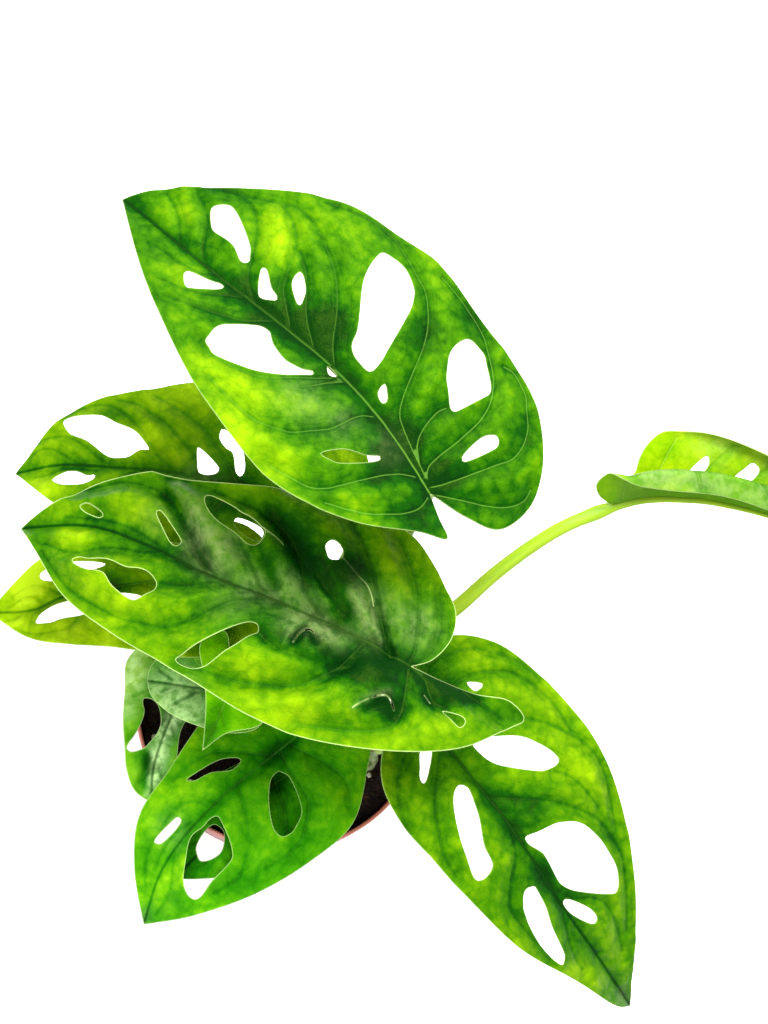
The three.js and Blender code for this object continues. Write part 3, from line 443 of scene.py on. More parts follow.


# ---- grown leaves -------------------------------------------------------------------------
# Holed leaves, each one piece: a leathery blade under half a millimetre thick, arched along its
# midrib and puckered between its side veins, on a channelled petiole that sheathes the stem.

# Each table is one leaf. base is where petiole and blade meet, and heading and pitch turn the blade.
# arch lifts the midrib's middle, fold lifts both halves from the midrib, droop lowers the margins,
# pucker swells the blade between veins and wave bends the margins.
# rib, left and right are the midrib and the two margins, from the base to the tip, and right runs
# back. veins run from the midrib round the holes. edges are where the blade doubles over itself, and
# folds are its ridges and furrows, each with width, height and course.
# pale_veins and pale_rim are how pale the veins near the base and the margin are, and tone is how
# light the whole blade is, partly its own green and partly painted light on leaves lying in shade.
# light and the list after it are soft patches, each with x, y, size and strength: light holds paler
# and darker tissue with painted light and shade, and the other a painted sheen.
# Only some leaves have rib_end, where the rib under the blade ends, rib_radius and sheath, which is
# how far up the petiole its thick base reaches.
GROWN_LEAVES = {
    "leaf_top": dict(
        base=(36, 41, 230), heading=137, pitch=2, length=152, half_width=55,
        arch=10, fold=0.25, droop=10, pucker=1.6, wave=1.5,
        rib=[(25, -4), (50, -5), (75, -3), (110, 0)],
        left=[(-8, 4), (-15, 7), (-7, 14), (10, 30), (28, 39), (47, 42), (71, 39), (94, 32), (119, 21),
              (139, 9)],
        right=[(142, -12.8), (127.8, -26.7), (108, -43), (87, -55), (59, -60), (37, -58), (14, -56),
               (-5, -50), (-20, -38), (-27, -25), (-25, -10), (-14, -4)],
        holes=[
            [(125, -17), (124.5, -18.5), (122.5, -20.5), (120.5, -21.5), (117.5, -21), (104.5, -15),
             (102.5, -13), (101, -11), (101.5, -9.5), (103, -9), (108.5, -11), (118, -11), (120, -12)],
            [(95.5, -12), (94.5, -12.5), (88, -9), (85, -8.5), (84, -7.5), (87, -5), (89, -4.5),
             (90.5, -5.5), (92.5, -7.5), (94.5, -10)],
            [(85.5, -20.5), (83.5, -20), (79.5, -17), (78, -14.5), (77, -12), (77.5, -11.5), (84, -15),
             (85.5, -17.5)],
            [(112, 6.5), (110, 5.5), (104, 3.5), (101.5, 2), (100, 2), (100, 3.5), (107, 11.5), (108, 12),
             (110, 11), (112, 9), (112.5, 7.5)],
            [(88, 22.5), (88.5, 20.5), (89, 17.5), (88.5, 14), (81, 4.5), (79, 3.5), (76.5, 3.5), (74.5, 5),
             (72, 6.5), (65.5, 7.5), (62.5, 6.5), (59.5, 5), (56.5, 2.5), (56, 3), (58, 6), (64, 13.5),
             (70, 18.5), (83, 24), (85, 23.5)],
            [(55, -3.5), (54.5, -4), (51.5, -4), (50.5, -3.5), (51, -2.5), (52.5, -1.5), (53.5, -2)],
            [(71.5, -47.5), (67.5, -49), (65, -49.5), (61, -49), (54, -45), (52, -42.5), (50, -39),
             (44.5, -21), (43.5, -17.5), (43.5, -12.5), (48, -12), (51.5, -12.5), (54, -14), (55, -15.5),
             (56.5, -19), (67.5, -33), (70, -38), (71.5, -43.5)],
            [(29, -47.5), (27.5, -48.5), (24.5, -49), (21.5, -49), (18.5, -47), (11.5, -42), (10.5, -40),
             (11, -36.5), (13, -28), (14, -25.5), (15, -25), (20.5, -28.5), (24, -31), (26.5, -34),
             (29, -37.5), (30, -40.5), (30, -44.5)],
            [(37, -13), (33, -10.5), (32.5, -9.5), (33, -8.5), (36.5, -9.5)],
            [(1, -16), (0, -15.5), (-4, -25.5), (-4.5, -28.5), (-3.5, -30), (-2, -30.5), (-0.5, -29.5),
             (1, -27), (1.5, -24)],
            [(33.5, 22.5), (31, 17), (29, 14.5), (23.5, 10.5), (20, 6.5), (19.5, 7.5), (27.5, 20),
             (30, 21.5)],
        ],
        veins=[
            [(53, -5), (59, -10), (68, -21), (77, -29), (82, -32), (94, -37), (100, -38), (104, -38),
             (110, -35), (133, -22)],
            [(4, -2), (22, -8), (27, -11), (38, -34), (42, -40), (51, -48), (56, -50), (69, -55), (75, -56),
             (81, -55), (87, -53), (99, -47)],
            [(10, -4), (15, -8), (17, -12), (18, -21), (17, -24)],
            [(4, -2), (6, -4), (7, -6), (6, -21), (6, -31), (8, -38), (13, -45), (21, -51), (26, -54),
             (38, -56), (51, -57)],
            [(2, -1), (0, -4), (-7, -20), (-9, -25), (-11, -30), (-11, -34), (-10, -38), (-7, -43),
             (-2, -47), (1, -50), (6, -52), (10, -53), (14, -52)],
            [(0, 0), (-19, -15), (-22, -19), (-24, -24), (-23, -29)],
            [(31, -4), (35, 1), (38, 13), (40, 16), (46, 25), (49, 27), (56, 31), (72, 32), (78, 31)],
            [(5, -2), (12, 5), (22, 25), (24, 29), (28, 33), (33, 35), (42, 38)],
            [(49, -4), (61, 12), (66, 18), (73, 22), (79, 24), (84, 25), (89, 24)], [(47, -5), (55, 10)],
            [(79, -2), (84, 5), (87, 8), (105, 18), (110, 20)], [(92, -1), (103, 10), (109, 14), (115, 16)],
            [(106, 0), (108, 3), (116, 6), (128, 7)],
            [(0, 0), (-1, 7), (1, 13), (5, 19), (10, 25), (15, 29), (21, 33)],
            [(88, -2), (93, -4), (97, -7), (104, -17), (109, -23), (115, -27), (121, -28)],
            [(72, -3), (81, -9), (85, -12), (95, -28), (102, -33), (108, -35)],
            [(61, -4), (67, -7), (73, -11), (83, -21), (91, -26)],
            [(111, 0), (116, -4), (119, -8), (123, -13), (128, -16), (133, -18)],
            [(122, 1), (130, -6), (135, -9), (141, -11)],
        ],
        petiole=[(38, -4, 122), (31, 12, 141), (36, 42, 166), (43, 56, 188), (40, 53, 212)],
        petiole_radius=1.9,
        pale_veins=0.4, pale_rim=0.4,
        tone=-0.17,
        light=[(100, -22, 8, 0.35), (87, -43, 8, 0.1), (45, -48, 7, 0.05), (67, 28, 9, 0.4),
               (55, 40, 7, 0.35), (38, 36, 7, 0.3), (82, 28, 6, 0.25), (51, 13, 7, 0.15), (12, 25, 7, 0.2),
               (134, -6, 9, 0.3), (106, -32, 9, 0.2), (112, 6, 9, 0.3), (103, 17, 8, 0.1), (35, -52, 7, -0.2),
               (72, -4, 5, -0.25), (66, -13, 6, -0.35), (20, -1, 7, -0.4), (2, -7, 5, -0.35),
               (83, -1, 5, -0.3), (-6, -38, 7, -0.15), (40, -37, 5, -0.25), (102, -1, 5, -0.1),
               (-4, 11, 5, -0.2), (15, 12, 5, -0.2)],
        painted_sheen=[(52, 13, 7, 0.35), (21, 2, 5, 0.25), (37, 9, 5, 0.35)],
    ),
    "leaf_middle": dict(
        base=(37, -8, 188), heading=160, pitch=-8, length=153, half_width=50,
        arch=12, fold=0.18, droop=12, pucker=3.6, wave=1.2,
        rib=[(25, -1.7), (58, -2.7), (82, -3.2), (98, -5.8), (127, -7.5)],
        left=[(-11, 0), (-24, -1), (-37, -4), (-44, -1), (-40, 5), (-27, 20), (-7, 31), (20, 39), (47, 40),
              (73, 35), (100, 30), (123, 22), (142, 8)],
        right=[(142, -13), (131, -24), (114, -33), (99, -35), (81, -39), (64, -44), (42, -49), (18, -47),
               (3, -36), (-8, -25), (-10, -15), (-6, -5)],
        holes=[
            [(133.5, -13), (131, -14.5), (124, -12.5), (125, -11.5), (128, -11.5), (131.5, -12)],
            [(104, -19), (96, -14), (92, -10.5), (93, -9), (95.5, -9.5), (97.5, -11), (104.5, -18)],
            [(126.5, 7.5), (124.5, 6), (121, 6), (114, 4.5), (106, 5.5), (101.5, 4.5), (98, 4.5),
             (95.5, 5.5), (94, 7), (93.5, 10), (95, 12.5), (98, 16), (101, 16), (108, 13.5), (113, 10),
             (119.5, 10.5), (123, 10), (125.5, 9)],
            [(90, -28), (90.5, -30), (89.5, -31), (72, -28), (67, -25.5), (65.3, -24.6), (64.8, -21.5),
             (67, -19), (69.5, -18.5), (72, -19.5), (74.5, -20.5), (79.5, -21), (83, -22), (87, -24.5),
             (89, -26.5)],
            [(43, -27), (42.5, -29), (41.5, -30), (39.5, -30), (37.2, -28.4), (36, -26.5), (36.3, -24.7),
             (37.5, -23.5), (40, -23), (41.5, -24.5)],
            [(76.5, 30.5), (75, 28.5), (70.5, 23), (61.5, 13.2), (57, 9.9), (54.5, 9.8), (53.5, 11.7),
             (56.4, 15.7), (58.8, 19.4), (61.3, 22.7), (63.5, 26), (66.5, 29.5), (71, 31.5)],
            [(41, 10.3), (40.7, 7), (39.3, 4), (37.4, 2.9), (35.3, 4), (37.5, 3.4), (38.9, 4.4), (40.2, 7.1)],
            [(8.8, 18.4), (6.7, 16.1), (4, 14.9), (1.6, 16.3), (0.4, 18.2), (2, 16.7), (4, 15.4),
             (6.5, 16.6)],
            [(-15.5, 10.5), (-19, 9.9), (-22.5, 10.1), (-24, 11), (-24, 13), (-23, 14.3), (-21, 13.6),
             (-18, 11.9)],
        ],
        veins=[
            [(76, -3), (85, -10), (101, -24), (107, -27), (114, -28), (122, -27), (130, -23), (138, -18)],
            [(54, -3), (59, -5), (64, -10), (73, -19)],
            [(34, -2), (43, -9), (51, -21), (56, -27), (62, -30), (70, -32), (79, -33), (99, -34),
             (108, -33)],
            [(10, -1), (23, -24), (27, -30), (32, -36), (39, -42), (46, -45), (55, -47), (64, -47)],
            [(2, 1), (1, -4), (2, -11), (4, -18), (7, -27), (15, -38), (20, -43)],
            [(96, -6), (108, -10), (119, -11), (123, -11), (138, -8)],
            [(98, -6), (105, -3), (112, -2), (119, 0), (126, 4), (133, 5), (140, 4)],
            [(73, -3), (83, 3), (93, 6)],
            [(57, -2), (63, 1), (69, 5), (79, 17), (85, 21), (92, 22), (101, 23), (118, 20), (126, 17),
             (140, 7)],
            [(18, -1), (24, 12), (34, 23), (43, 27), (56, 30), (63, 31), (75, 31)],
            [(1, 1), (-2, 18), (-1, 23), (4, 27), (12, 31), (22, 34), (31, 36)],
            [(-1, 1), (-6, 3), (-9, 7), (-12, 9), (-17, 9)], [(-2, 1), (-16, 0), (-30, 2), (-37, 3)],
            [(0, 0), (-5, -7), (-6, -16), (-1, -29)],
        ],
        edges=[
            [(36, -25.5), (32.5, -23.5), (28.5, -21.5), (24.5, -20), (22, -17.5), (20, -14.5)],
            [(66.5, -25.5), (63, -24.5), (59.5, -23.5), (57.5, -22.5)],
            [(13.7, 24.3), (11.5, 21.3), (9.4, 18.9)], [(-7.6, 8.4), (-9, 9.2), (-10.4, 9.8)],
        ],
        folds=[
            (2.2, -2.2, [(105.5, -27), (98, -22), (89.5, -14.5), (80.5, -7)]),
            (2.6, 2, [(101.5, -29.5), (91.5, -22.5), (83.5, -15), (77, -9)]),
            (2.4, -2, [(76.5, -27.5), (69.5, -22), (63, -16), (55, -7.5)]),
            (4, -3.6, [(66, -34.5), (55.5, -26), (46, -19.5), (37, -13), (28.5, -8)]),
            (1.6, 1.8, [(44.5, -16.5), (40, -11.5), (34.5, -8.5)]),
            (2.2, 2.2, [(28, -14), (20.5, -8.5), (13.5, -4)]),
            (1.4, -2, [(19.5, -15), (15.5, -10.5), (11.5, -4.5), (8, -0.5)]),
            (1.5, -2.2, [(41, 11), (40, 7), (38.3, 4.4), (35.8, 4.6), (33.8, 7)]),
            (1.1, 1.3, [(43.5, 13.5), (42.8, 8), (40.8, 1.6)]), (1, 1, [(33, 7), (32, 3.4), (31, 0.6)]),
            (1.8, -2.2, [(9, 22.5), (6, 19.3), (3, 18.3), (0.5, 20)]),
            (1.3, 1.1, [(13.5, 23.5), (9.2, 17.8), (4.3, 13.5)]),
            (1.6, -1.6, [(53, 12), (48.5, 14.2), (43, 14.8), (39.2, 14.4), (32.5, 14.3), (25.2, 12.8),
                         (20, 9.5)]),
            (1.8, -1.1, [(60, 30.5), (49.4, 29.1), (34.3, 23.5), (25.2, 17.1), (19.2, 8.1)]),
            (1.4, -1.1, [(-10.4, 9.9), (-13, 10.8), (-16, 11)]),
        ],
        petiole=[(38, 1, 133), (36, -7, 147), (33, -4, 172)],
        petiole_radius=1.9,
        pale_veins=0.08, pale_rim=0.75,
        tone=-0.04,
        light=[(40.5, 8, 2.2, -0.4), (38.3, 4.8, 2, -0.4), (34.5, 6, 2, -0.4), (4, 19, 3, -0.5),
               (3.5, 15.5, 2.5, -0.2), (47, 10.5, 5, -0.2), (31, 9, 5, -0.2), (37.5, 12, 3, -0.15),
               (25, 7, 5, -0.15), (-17.3, 4.5, 4, -0.35), (-22, 0.5, 4, -0.3), (-4, 3.4, 3, -0.2),
               (-1, 17.6, 4, -0.25), (14, 12, 5, -0.2), (20, 14, 4, -0.15), (7, 7, 4, -0.15),
               (27, 9.5, 4, -0.1), (11.5, 21.5, 2.5, -0.35), (7.5, 17.5, 2, -0.25), (-9, 9.2, 2, -0.25),
               (52, 22, 5, 0.1), (33, -22, 5, -0.2), (102, 17, 8, 0.25), (130, 0, 7, 0.35),
               (139, -9, 5, 0.25), (33, 31, 9, 0.18), (-18, 11, 8, 0.2), (52, 24, 6, 0.1), (4, 29, 8, 0.1),
               (112, -16, 7, 0.2), (116, 16, 6, 0.15), (47, -21, 9, -0.3), (31, -21, 6, -0.35),
               (57, 10, 6, -0.2), (12, 7, 8, -0.45), (39, 8, 5, -0.05), (88, -7, 5, -0.25), (-11, 4, 6, -0.4),
               (56, -35, 7, -0.1), (12, -38, 9, 0.08)],
        painted_sheen=[(46.4, 2.8, 3, 0.6), (41.8, 1, 3, 0.6), (36.5, 0.8, 3, 0.4), (32, 3, 3, 0.7), (27, 2.5, 3, 0.5),
              (44, 8, 2.5, 0.4), (78, -12, 7, 0.9), (92, -20, 4, 0.8), (88, -14, 4, 0.8), (103, -17, 5, 0.3),
              (21, -11, 7, 0.9), (3, -14, 6, 0.7), (37, -2, 6, 0.6), (68, 38, 3, 0.5), (61, -5, 5, 0.6),
              (50, -8, 6, 0.6), (66, 6, 6, 0.25)],
    ),
    "leaf_upper_left": dict(
        base=(11, 70, 154), heading=177, pitch=-6, length=124, half_width=42,
        arch=8, fold=0.15, droop=9, pucker=1.6, wave=1.5,
        rib=[(30, 2), (45, 1.6), (60, -1.8), (86, -2.8), (106, -3.4)],
        left=[(-8, 7), (1, 16), (16, 24), (35, 28), (54, 28), (75, 26), (91, 21), (106, 14)],
        right=[(121, -4), (112, -19), (98, -30), (75, -38), (58, -42), (27, -44), (11, -39), (-4, -29),
               (-14, -19), (-13, -6)],
        holes=[
            [(107, -21), (106, -22.5), (104, -23.5), (100.5, -24), (93.5, -24), (91, -23.5), (86, -21),
             (80, -19), (77.5, -17.5), (75.5, -15.5), (72, -11), (72, -10.5), (75, -10), (79.5, -7),
             (83, -6.5), (86, -6.5), (88.5, -7.5), (97, -13.5), (102, -15.5), (104, -16.5)],
            [(108, 3.5), (103.5, 0), (100.5, -0.5), (98, 0), (94.5, 1.5), (92, 1), (91.5, 2), (93, 4),
             (96, 5.5), (99.5, 6), (103.5, 6), (106.5, 5)],
            [(53, -12.5), (52.5, -12.5), (45, -6), (44, -4.5), (44.5, -3), (47.5, -2), (51.5, -2.5),
             (52, -3.5)],
            [(44.5, -21), (45, -18), (44.5, -16.5), (42, -13.5), (39.5, -12), (38.5, -9.5), (37.5, -4.5),
             (36.5, -3), (35.5, -2.5), (34.5, -3.5), (34, -6), (34.5, -9.5), (35.5, -13), (40.5, -19),
             (43, -21)],
            [(36, 17.5), (35.5, 15.8), (33, 15.8), (25.5, 18.8), (24.5, 21), (26, 24), (28, 24), (35, 20)],
        ],
        veins=[
            [(61, -2), (68, -8), (77, -20), (85, -27), (90, -29), (96, -29), (101, -27), (105, -25)],
            [(46, 1), (66, -22), (73, -27), (80, -31), (87, -32)],
            [(35, 3), (40, -6), (49, -18), (55, -24), (64, -30), (72, -35)],
            [(83, -3), (88, -4), (92, -7), (97, -11), (105, -15), (109, -15), (114, -14), (118, -11)],
            [(98, -3), (108, -9), (112, -10), (116, -9), (119, -6)], [(71, -3), (78, 0), (94, 11)],
            [(87, -3), (91, -1), (100, -2), (106, -1), (110, 1), (115, 2)], [(0, 0), (-5, 6)],
            [(12, 0), (12, 10), (15, 21)], [(36, 1), (45, 14), (57, 25)], [(60, -1), (89, 18)],
            [(0, 0), (-11, -10), (-13, -17)], [(12, 0), (12, -10), (15, -21), (19, -31), (26, -41)],
        ],
        petiole=[(-2, 15, 113), (8, 32, 126), (22, 58, 144), (20, 69, 152)],
        petiole_radius=1.7,
        pale_veins=0.25, pale_rim=0.35,
        tone=0.1,
        light=[(40, 9, 9, -0.25), (30, 14, 6, -0.2), (22, 22, 6, -0.15), (112, 6, 7, 0.25),
               (111, -10, 7, 0.2), (82, -22, 7, -0.05), (62, -30, 9, 0.05), (99, 8, 5, -0.05),
               (96, -28, 6, 0.1), (65, -7, 7, 0.15), (74, -16, 5, 0.25), (37, 1, 9, -0.25),
               (46, -27, 8, -0.1), (90, -22, 5, -0.15), (104, -2, 5, -0.1), (68, -22, 4, -0.15),
               (70, -33, 6, 0.05), (86, 0, 6, 0.15)],
        painted_sheen=[(51, 0, 6, 0.4)],
    ),
    "leaf_left": dict(
        base=(-19, 39, 146), heading=-171, pitch=-11, length=102, half_width=38,
        arch=6, fold=0.15, droop=7, pucker=1.4, wave=1.2,
        rib=[(30, -1), (60, -0.5), (73, 0), (85, 2.6)],
        left=[(-6, 8), (-6, 20), (5, 29), (17, 32), (30, 31), (49, 25), (70, 20), (86, 14)],
        right=[(92, -8), (75, -19), (59, -23), (43, -25), (26, -25), (11, -23), (-2, -18), (-8, -9)],
        holes=[
            [(83, 7.5), (82.5, 7), (81.5, 5.5), (76.5, 3), (69.5, 2), (51, 2), (41, 6), (62, 8.5), (74, 9),
             (76.5, 9.5), (81.5, 9), (83, 8.5)],
            [(54, -9.5), (66, -13), (76.5, -12.5), (79.5, -11), (80, -10), (79.5, -8.5), (75, -7), (66, -8)],
        ],
        veins=[
            [(72, -1), (80, -6), (84, -7), (92, -4)], [(80, 1), (83, -2), (86, -3), (94, 0)],
            [(69, -1), (77, -12)], [(81, 2), (84, 4), (86, 11)],
            [(67, 0), (66, 7), (69, 12), (75, 13), (81, 13), (86, 12), (92, 9)], [(87, 3), (93, 5), (96, 5)],
            [(0, 0), (-3, 3)], [(12, 0), (12, 7), (14, 15), (16, 21), (20, 29)],
            [(30, -1), (38, 11), (48, 23)], [(0, 0), (-6, -7)], [(15, 0), (17, -11), (21, -22)],
            [(32, -1), (40, -12), (49, -21)], [(52, 0), (74, -15)],
        ],
        petiole=[(-2, 18, 122), (-1, 32, 134), (-8, 40, 143)],
        petiole_radius=1.6,
        pale_veins=0.3, pale_rim=0.5,
        tone=0.32,
        light=[(87, -1, 8, 0.25), (71, 16, 8, 0.1), (53, -1, 8, -0.45), (16, 22, 13, -0.45), (84, -7, 6, 0.1),
               (62, 14, 7, -0.15), (78, 6, 5, -0.15), (66, 22, 5, -0.1), (95, -3, 4, -0.1), (92, 5, 6, 0.2),
               (72, -4, 5, -0.05), (82, -11, 7, 0.25)],
        painted_sheen=[],
    ),
    "leaf_lower_right": dict(
        base=(43, -11, 152), heading=-47, pitch=-21, length=155, half_width=48,
        arch=16, fold=0.15, droop=8, pucker=1.6, wave=1.2,
        rib=[(30, -1.5), (60, -2), (90, -3.6), (125, -2.3)],
        left=[(-5, 6), (-11, 16), (-8, 30), (4, 41), (22, 46), (40, 48), (61, 46), (83, 40), (110, 26),
              (130, 14), (143, 5)],
        right=[(148, -6), (123, -16), (94, -28), (70, -32), (46, -34), (29, -34), (14, -30), (5, -21),
               (1, -10)],
        holes=[
            [(25, 6.5), (24.5, 8), (28.5, 14.5), (35.5, 23), (41.5, 26.5), (45, 28), (48.5, 29), (51.5, 29),
             (52.5, 27), (50.5, 21.5), (47, 17.5), (37.5, 9), (35, 7.5), (32, 6.5), (26.5, 6)],
            [(14, -9), (19.5, -16), (21.5, -18), (23.5, -18.5), (24, -18), (23.5, -16), (16, -6)],
            [(34, -7), (33, -8.5), (33.5, -11), (37, -15), (47, -21), (53.5, -23.5), (61.5, -26),
             (63, -25.5), (64, -23.5), (64, -20.5), (63, -18), (61.5, -17), (56.5, -16), (54, -15),
             (46, -10), (38.5, -6.5), (36.5, -6), (35, -6.5)],
            [(65, 0), (66, 4.5), (68.5, 12.5), (70.5, 15.5), (72.5, 18), (75.5, 20.5), (79, 22),
             (86.5, 23.5), (91, 23.5), (100, 22.5), (104, 20.5), (106, 19), (107, 16.5), (105, 13.5),
             (95.5, 4.5), (92, 2), (88, 0.5), (85, 0.5), (76, 1.5), (73.5, 1.5), (67.5, -0.5)],
            [(94.5, -1.5), (96, 0), (105, 4.5), (109.5, 4.5), (110.5, 3), (110, 2), (100.5, -2.5),
             (95, -2.5)],
            [(80, -10), (79, -12), (79.5, -14), (83.5, -17.5), (86.5, -18.5), (90.5, -19.5), (101.5, -20),
             (112.5, -17.5), (112, -16), (110.5, -14.5), (108, -14), (97, -12.5), (89.5, -10), (83, -9),
             (81, -9)],
            [(8, 21), (12, 25), (12, 21)],
        ],
        veins=[
            [(44, -2), (63, 18), (72, 24), (81, 28), (95, 28), (100, 27), (107, 23), (124, 13)],
            [(85, -4), (97, 2), (102, 8), (108, 11), (114, 11), (121, 10), (130, 7)],
            [(13, 4), (12, 12), (13, 17), (24, 23), (40, 36), (46, 39), (53, 42), (61, 43), (70, 41),
             (87, 33)],
            [(6, 5), (6, 21), (8, 27), (12, 33), (17, 38), (24, 41), (33, 43), (41, 43), (50, 41)],
            [(4, 5), (-5, 14), (-5, 19), (-3, 26), (0, 32), (5, 37), (15, 43), (24, 45)],
            [(54, 25), (58, 28), (64, 30), (77, 31)],
            [(16, 1), (29, -16), (35, -22), (40, -25), (45, -28), (50, -30), (57, -31)],
            [(60, -3), (64, -5), (68, -8), (73, -15), (76, -18), (79, -21), (83, -22), (88, -22), (107, -20)],
            [(95, -4), (107, -9), (115, -11), (122, -11)],
            [(11, 1), (12, -5), (12, -14), (15, -21), (20, -27), (26, -31), (32, -34), (39, -36)],
        ],
        petiole=[(37, -13, 108), (36, -23, 121), (40, -20, 140)],
        petiole_radius=1.9,
        pale_veins=0.06, pale_rim=0.35,
        tone=-0.04,
        light=[(3, 28, 7, 0.15), (37, 42, 9, 0.15), (61, 32, 8, 0.15), (77, 32, 6, 0.1), (48, 10, 6, 0.15),
               (48, -31, 7, 0.05), (76, -25, 7, -0.1), (128, 5, 5, 0.2), (119, -12, 5, 0.35),
               (56, 7, 8, -0.25), (80, -3, 5, -0.3), (118, -5, 5, -0.05), (112, 9, 7, 0.15),
               (130, -6, 6, 0.15), (99, 0, 5, -0.1), (88, 27, 5, -0.15), (2, 12, 6, -0.3)],
        painted_sheen=[(147, -1, 3, 0.4)],
    ),
    "leaf_front": dict(
        base=(17, -7, 120), heading=-130, pitch=-15, length=110, half_width=45,
        arch=12, fold=0.15, droop=10, pucker=1.8, wave=1.2,
        rib=[(25, -4), (48, -8), (72, -9.7), (90, -7.8)],
        left=[(-4, 7), (-3, 18), (9, 27), (28, 36), (49, 33), (72, 25), (93, 13)],
        right=[(95, -17), (79, -28), (58, -31), (30, -35), (17, -37), (4, -33), (-4, -22), (-4, -9)],
        holes=[
            [(57, -23), (52.5, -22), (43, -18.5), (39, -15), (38, -13.5), (38, -12.5), (42.5, -12.5),
             (49, -18), (55, -20.5), (56.5, -22)],
            [(31.5, 1.5), (33.5, 1), (36, 1.5), (42, 6), (47.5, 12.5), (49, 15.5), (49, 18.5), (48, 19.5),
             (45, 20.5), (42, 20), (38.5, 19), (36.5, 17.5), (33, 12), (31.5, 8.5), (30.5, 5), (31, 3)],
            [(83, -17), (82, -17.5), (72.5, -17), (70, -16.5), (69.5, -15.5), (70, -14.5), (72.5, -14),
             (76.5, -14), (82, -15)],
            [(60, -5.5), (62.5, -6.5), (66, -6.5), (72, -7.5), (81, -2.5), (86, 1), (88, 3.5), (89, 6.5),
             (88.5, 9), (86.5, 10), (79.5, 9.5), (70, 10), (67, 9.5), (65, 7.5), (63, 4.5), (60, -2.5),
             (59.5, -4.5)],
        ],
        veins=[
            [(29, -5), (31, -8), (41, -21), (45, -24), (56, -27), (61, -27)],
            [(59, -9), (60, -13), (63, -17), (67, -19), (73, -19), (79, -18), (86, -17), (92, -14), (98, -9)],
            [(66, -10), (74, -13), (79, -13), (85, -12), (91, -10)],
            [(25, -4), (27, 0), (32, 17), (35, 20), (40, 23), (45, 25), (51, 25), (57, 24), (62, 22)],
            [(45, -7), (59, 11), (63, 13), (67, 15), (72, 16), (77, 15), (82, 13)],
            [(21, -2), (17, 15), (17, 22), (19, 27), (23, 31)],
            [(81, -9), (86, -5), (92, -1), (98, 1), (104, 1)], [(0, 0), (-4, -3)],
            [(6, -1), (5, -9), (5, -16), (6, -24), (9, -32)],
        ],
        petiole=[(37, -18, 99), (30, -9, 108), (25, -4, 117)],
        petiole_radius=1.7,
        pale_veins=0.25, pale_rim=0.65,
        tone=0.14,
        light=[(64, -16, 7, 0.2), (57, 31, 8, -0.2), (34, 28, 8, -0.1), (79, -1, 5, 0.1), (81, -16, 5, 0.15),
               (26, -6, 7, -0.2), (35, 15, 6, -0.15), (93, 7, 5, -0.2), (88, -4, 8, 0.3), (39, -7, 5, 0.05),
               (50, -12, 6, -0.05), (28, -24, 7, -0.1), (46, 30, 7, -0.15), (70, 22, 7, -0.3),
               (100, -4, 6, 0.15), (60, -26, 6, 0.05)],
        painted_sheen=[(108, -3, 3, 0.4), (75, -15, 5, 0.3)],
    ),
    "leaf_folded": dict(
        base=(-37, 14, 113), heading=-100, pitch=-10, length=61, half_width=25,
        arch=5, fold=0.3, droop=5, pucker=0.9, wave=0.5,
        rib=[(20, -3), (40, -6), (55, -5)],
        left=[(0, 5), (10, 8), (20, 5), (30, 1), (44, 2), (54, 1)],
        right=[(57, -11), (50, -16), (41, -19), (31, -22), (20, -24), (8, -26), (-1, -20), (-4, -8)],
        folds=[
            (2.2, 1.5, [(24, -1.5), (28, -3.5), (34, -5.5), (41, -5.5), (48, -5), (57, -5.5)]),
            (1.5, -1.5, [(42.5, -9.5), (48, -9), (57, -10)]),
        ],
        holes=[
            [(21.5, -16), (21, -14), (21.5, -12), (22.5, -10.5), (24.5, -9), (29, -7.5), (31, -7.5),
             (33.5, -8), (38.5, -10.5), (40, -11.5), (42.5, -16), (42, -17.5), (41, -18), (34, -15.5),
             (26.5, -14.5), (23, -16)],
        ],
        veins=[
            [(10, -2), (12, 5)], [(28, -4), (33, -1)], [(44, -6), (50, -2)], [(0, 0), (-2, -6), (-2, -12)],
            [(12, -2), (15, -11), (21, -20)], [(26, -4), (37, -16)], [(44, -6), (52, -9)],
        ],
        petiole=[(-2, 9, 96), (-16, 18, 106), (-30, 22, 113)],
        petiole_radius=1.3,
        pale_veins=0.25, pale_rim=0.7,
        tone=0.05,
        light=[(8, -25, 7, 0.3), (18, -23, 6, 0.25), (50, -13, 5, 0.25), (20, -5, 7, -0.3),
               (45, -9.5, 3, -0.2)],
        painted_sheen=[(7, -25, 6, 0.9), (16, -23, 5, 0.8), (26, -23, 4, 0.6), (26, -2.5, 3, 0.8), (33, -5, 3, 0.9),
              (41, -5.5, 3, 0.9), (49, -5, 3, 0.8)],
    ),
    "leaf_small_oval": dict(
        base=(-14, -4, 130), heading=174, pitch=-11, length=43, half_width=20,
        arch=4, fold=0.1, droop=3, pucker=0.7, wave=0.4,
        rib=[(21, 2)],
        left=[(-5, 5), (-3, 14), (6, 18), (19, 17), (31, 13), (40, 6)],
        right=[(42, -6), (34, -14), (24, -17), (13, -17), (2, -13), (-3, -6)],
        holes=[],
        veins=[
            [(0, 0), (-3, 5)], [(9, 1), (12, 8), (16, 15)], [(20, 2), (30, 9)], [(30, 1), (36, 4)],
            [(0, 0), (-2, -3)], [(9, 1), (13, -7), (19, -14)], [(20, 2), (33, -9)], [(30, 1), (38, -4)],
        ],
        petiole=[(-3, 12, 106), (-9, 18, 116), (-8, 14, 125), (-7, 3, 130)],
        petiole_radius=1.2,
        pale_veins=0.15, pale_rim=0.6,
        tone=0,
        light=[(34, 2, 9, 0.15), (24, 10, 6, -0.1)],
        painted_sheen=[(32, 7, 10, 0.9), (23, 17, 6, 0.6)],
    ),
    "leaf_under_front": dict(
        base=(6, -29, 114), heading=-138, pitch=-18, length=66, half_width=25,
        arch=5, fold=0.1, droop=4, pucker=0.9, wave=0.5,
        rib=[(23, -2), (43, -1)],
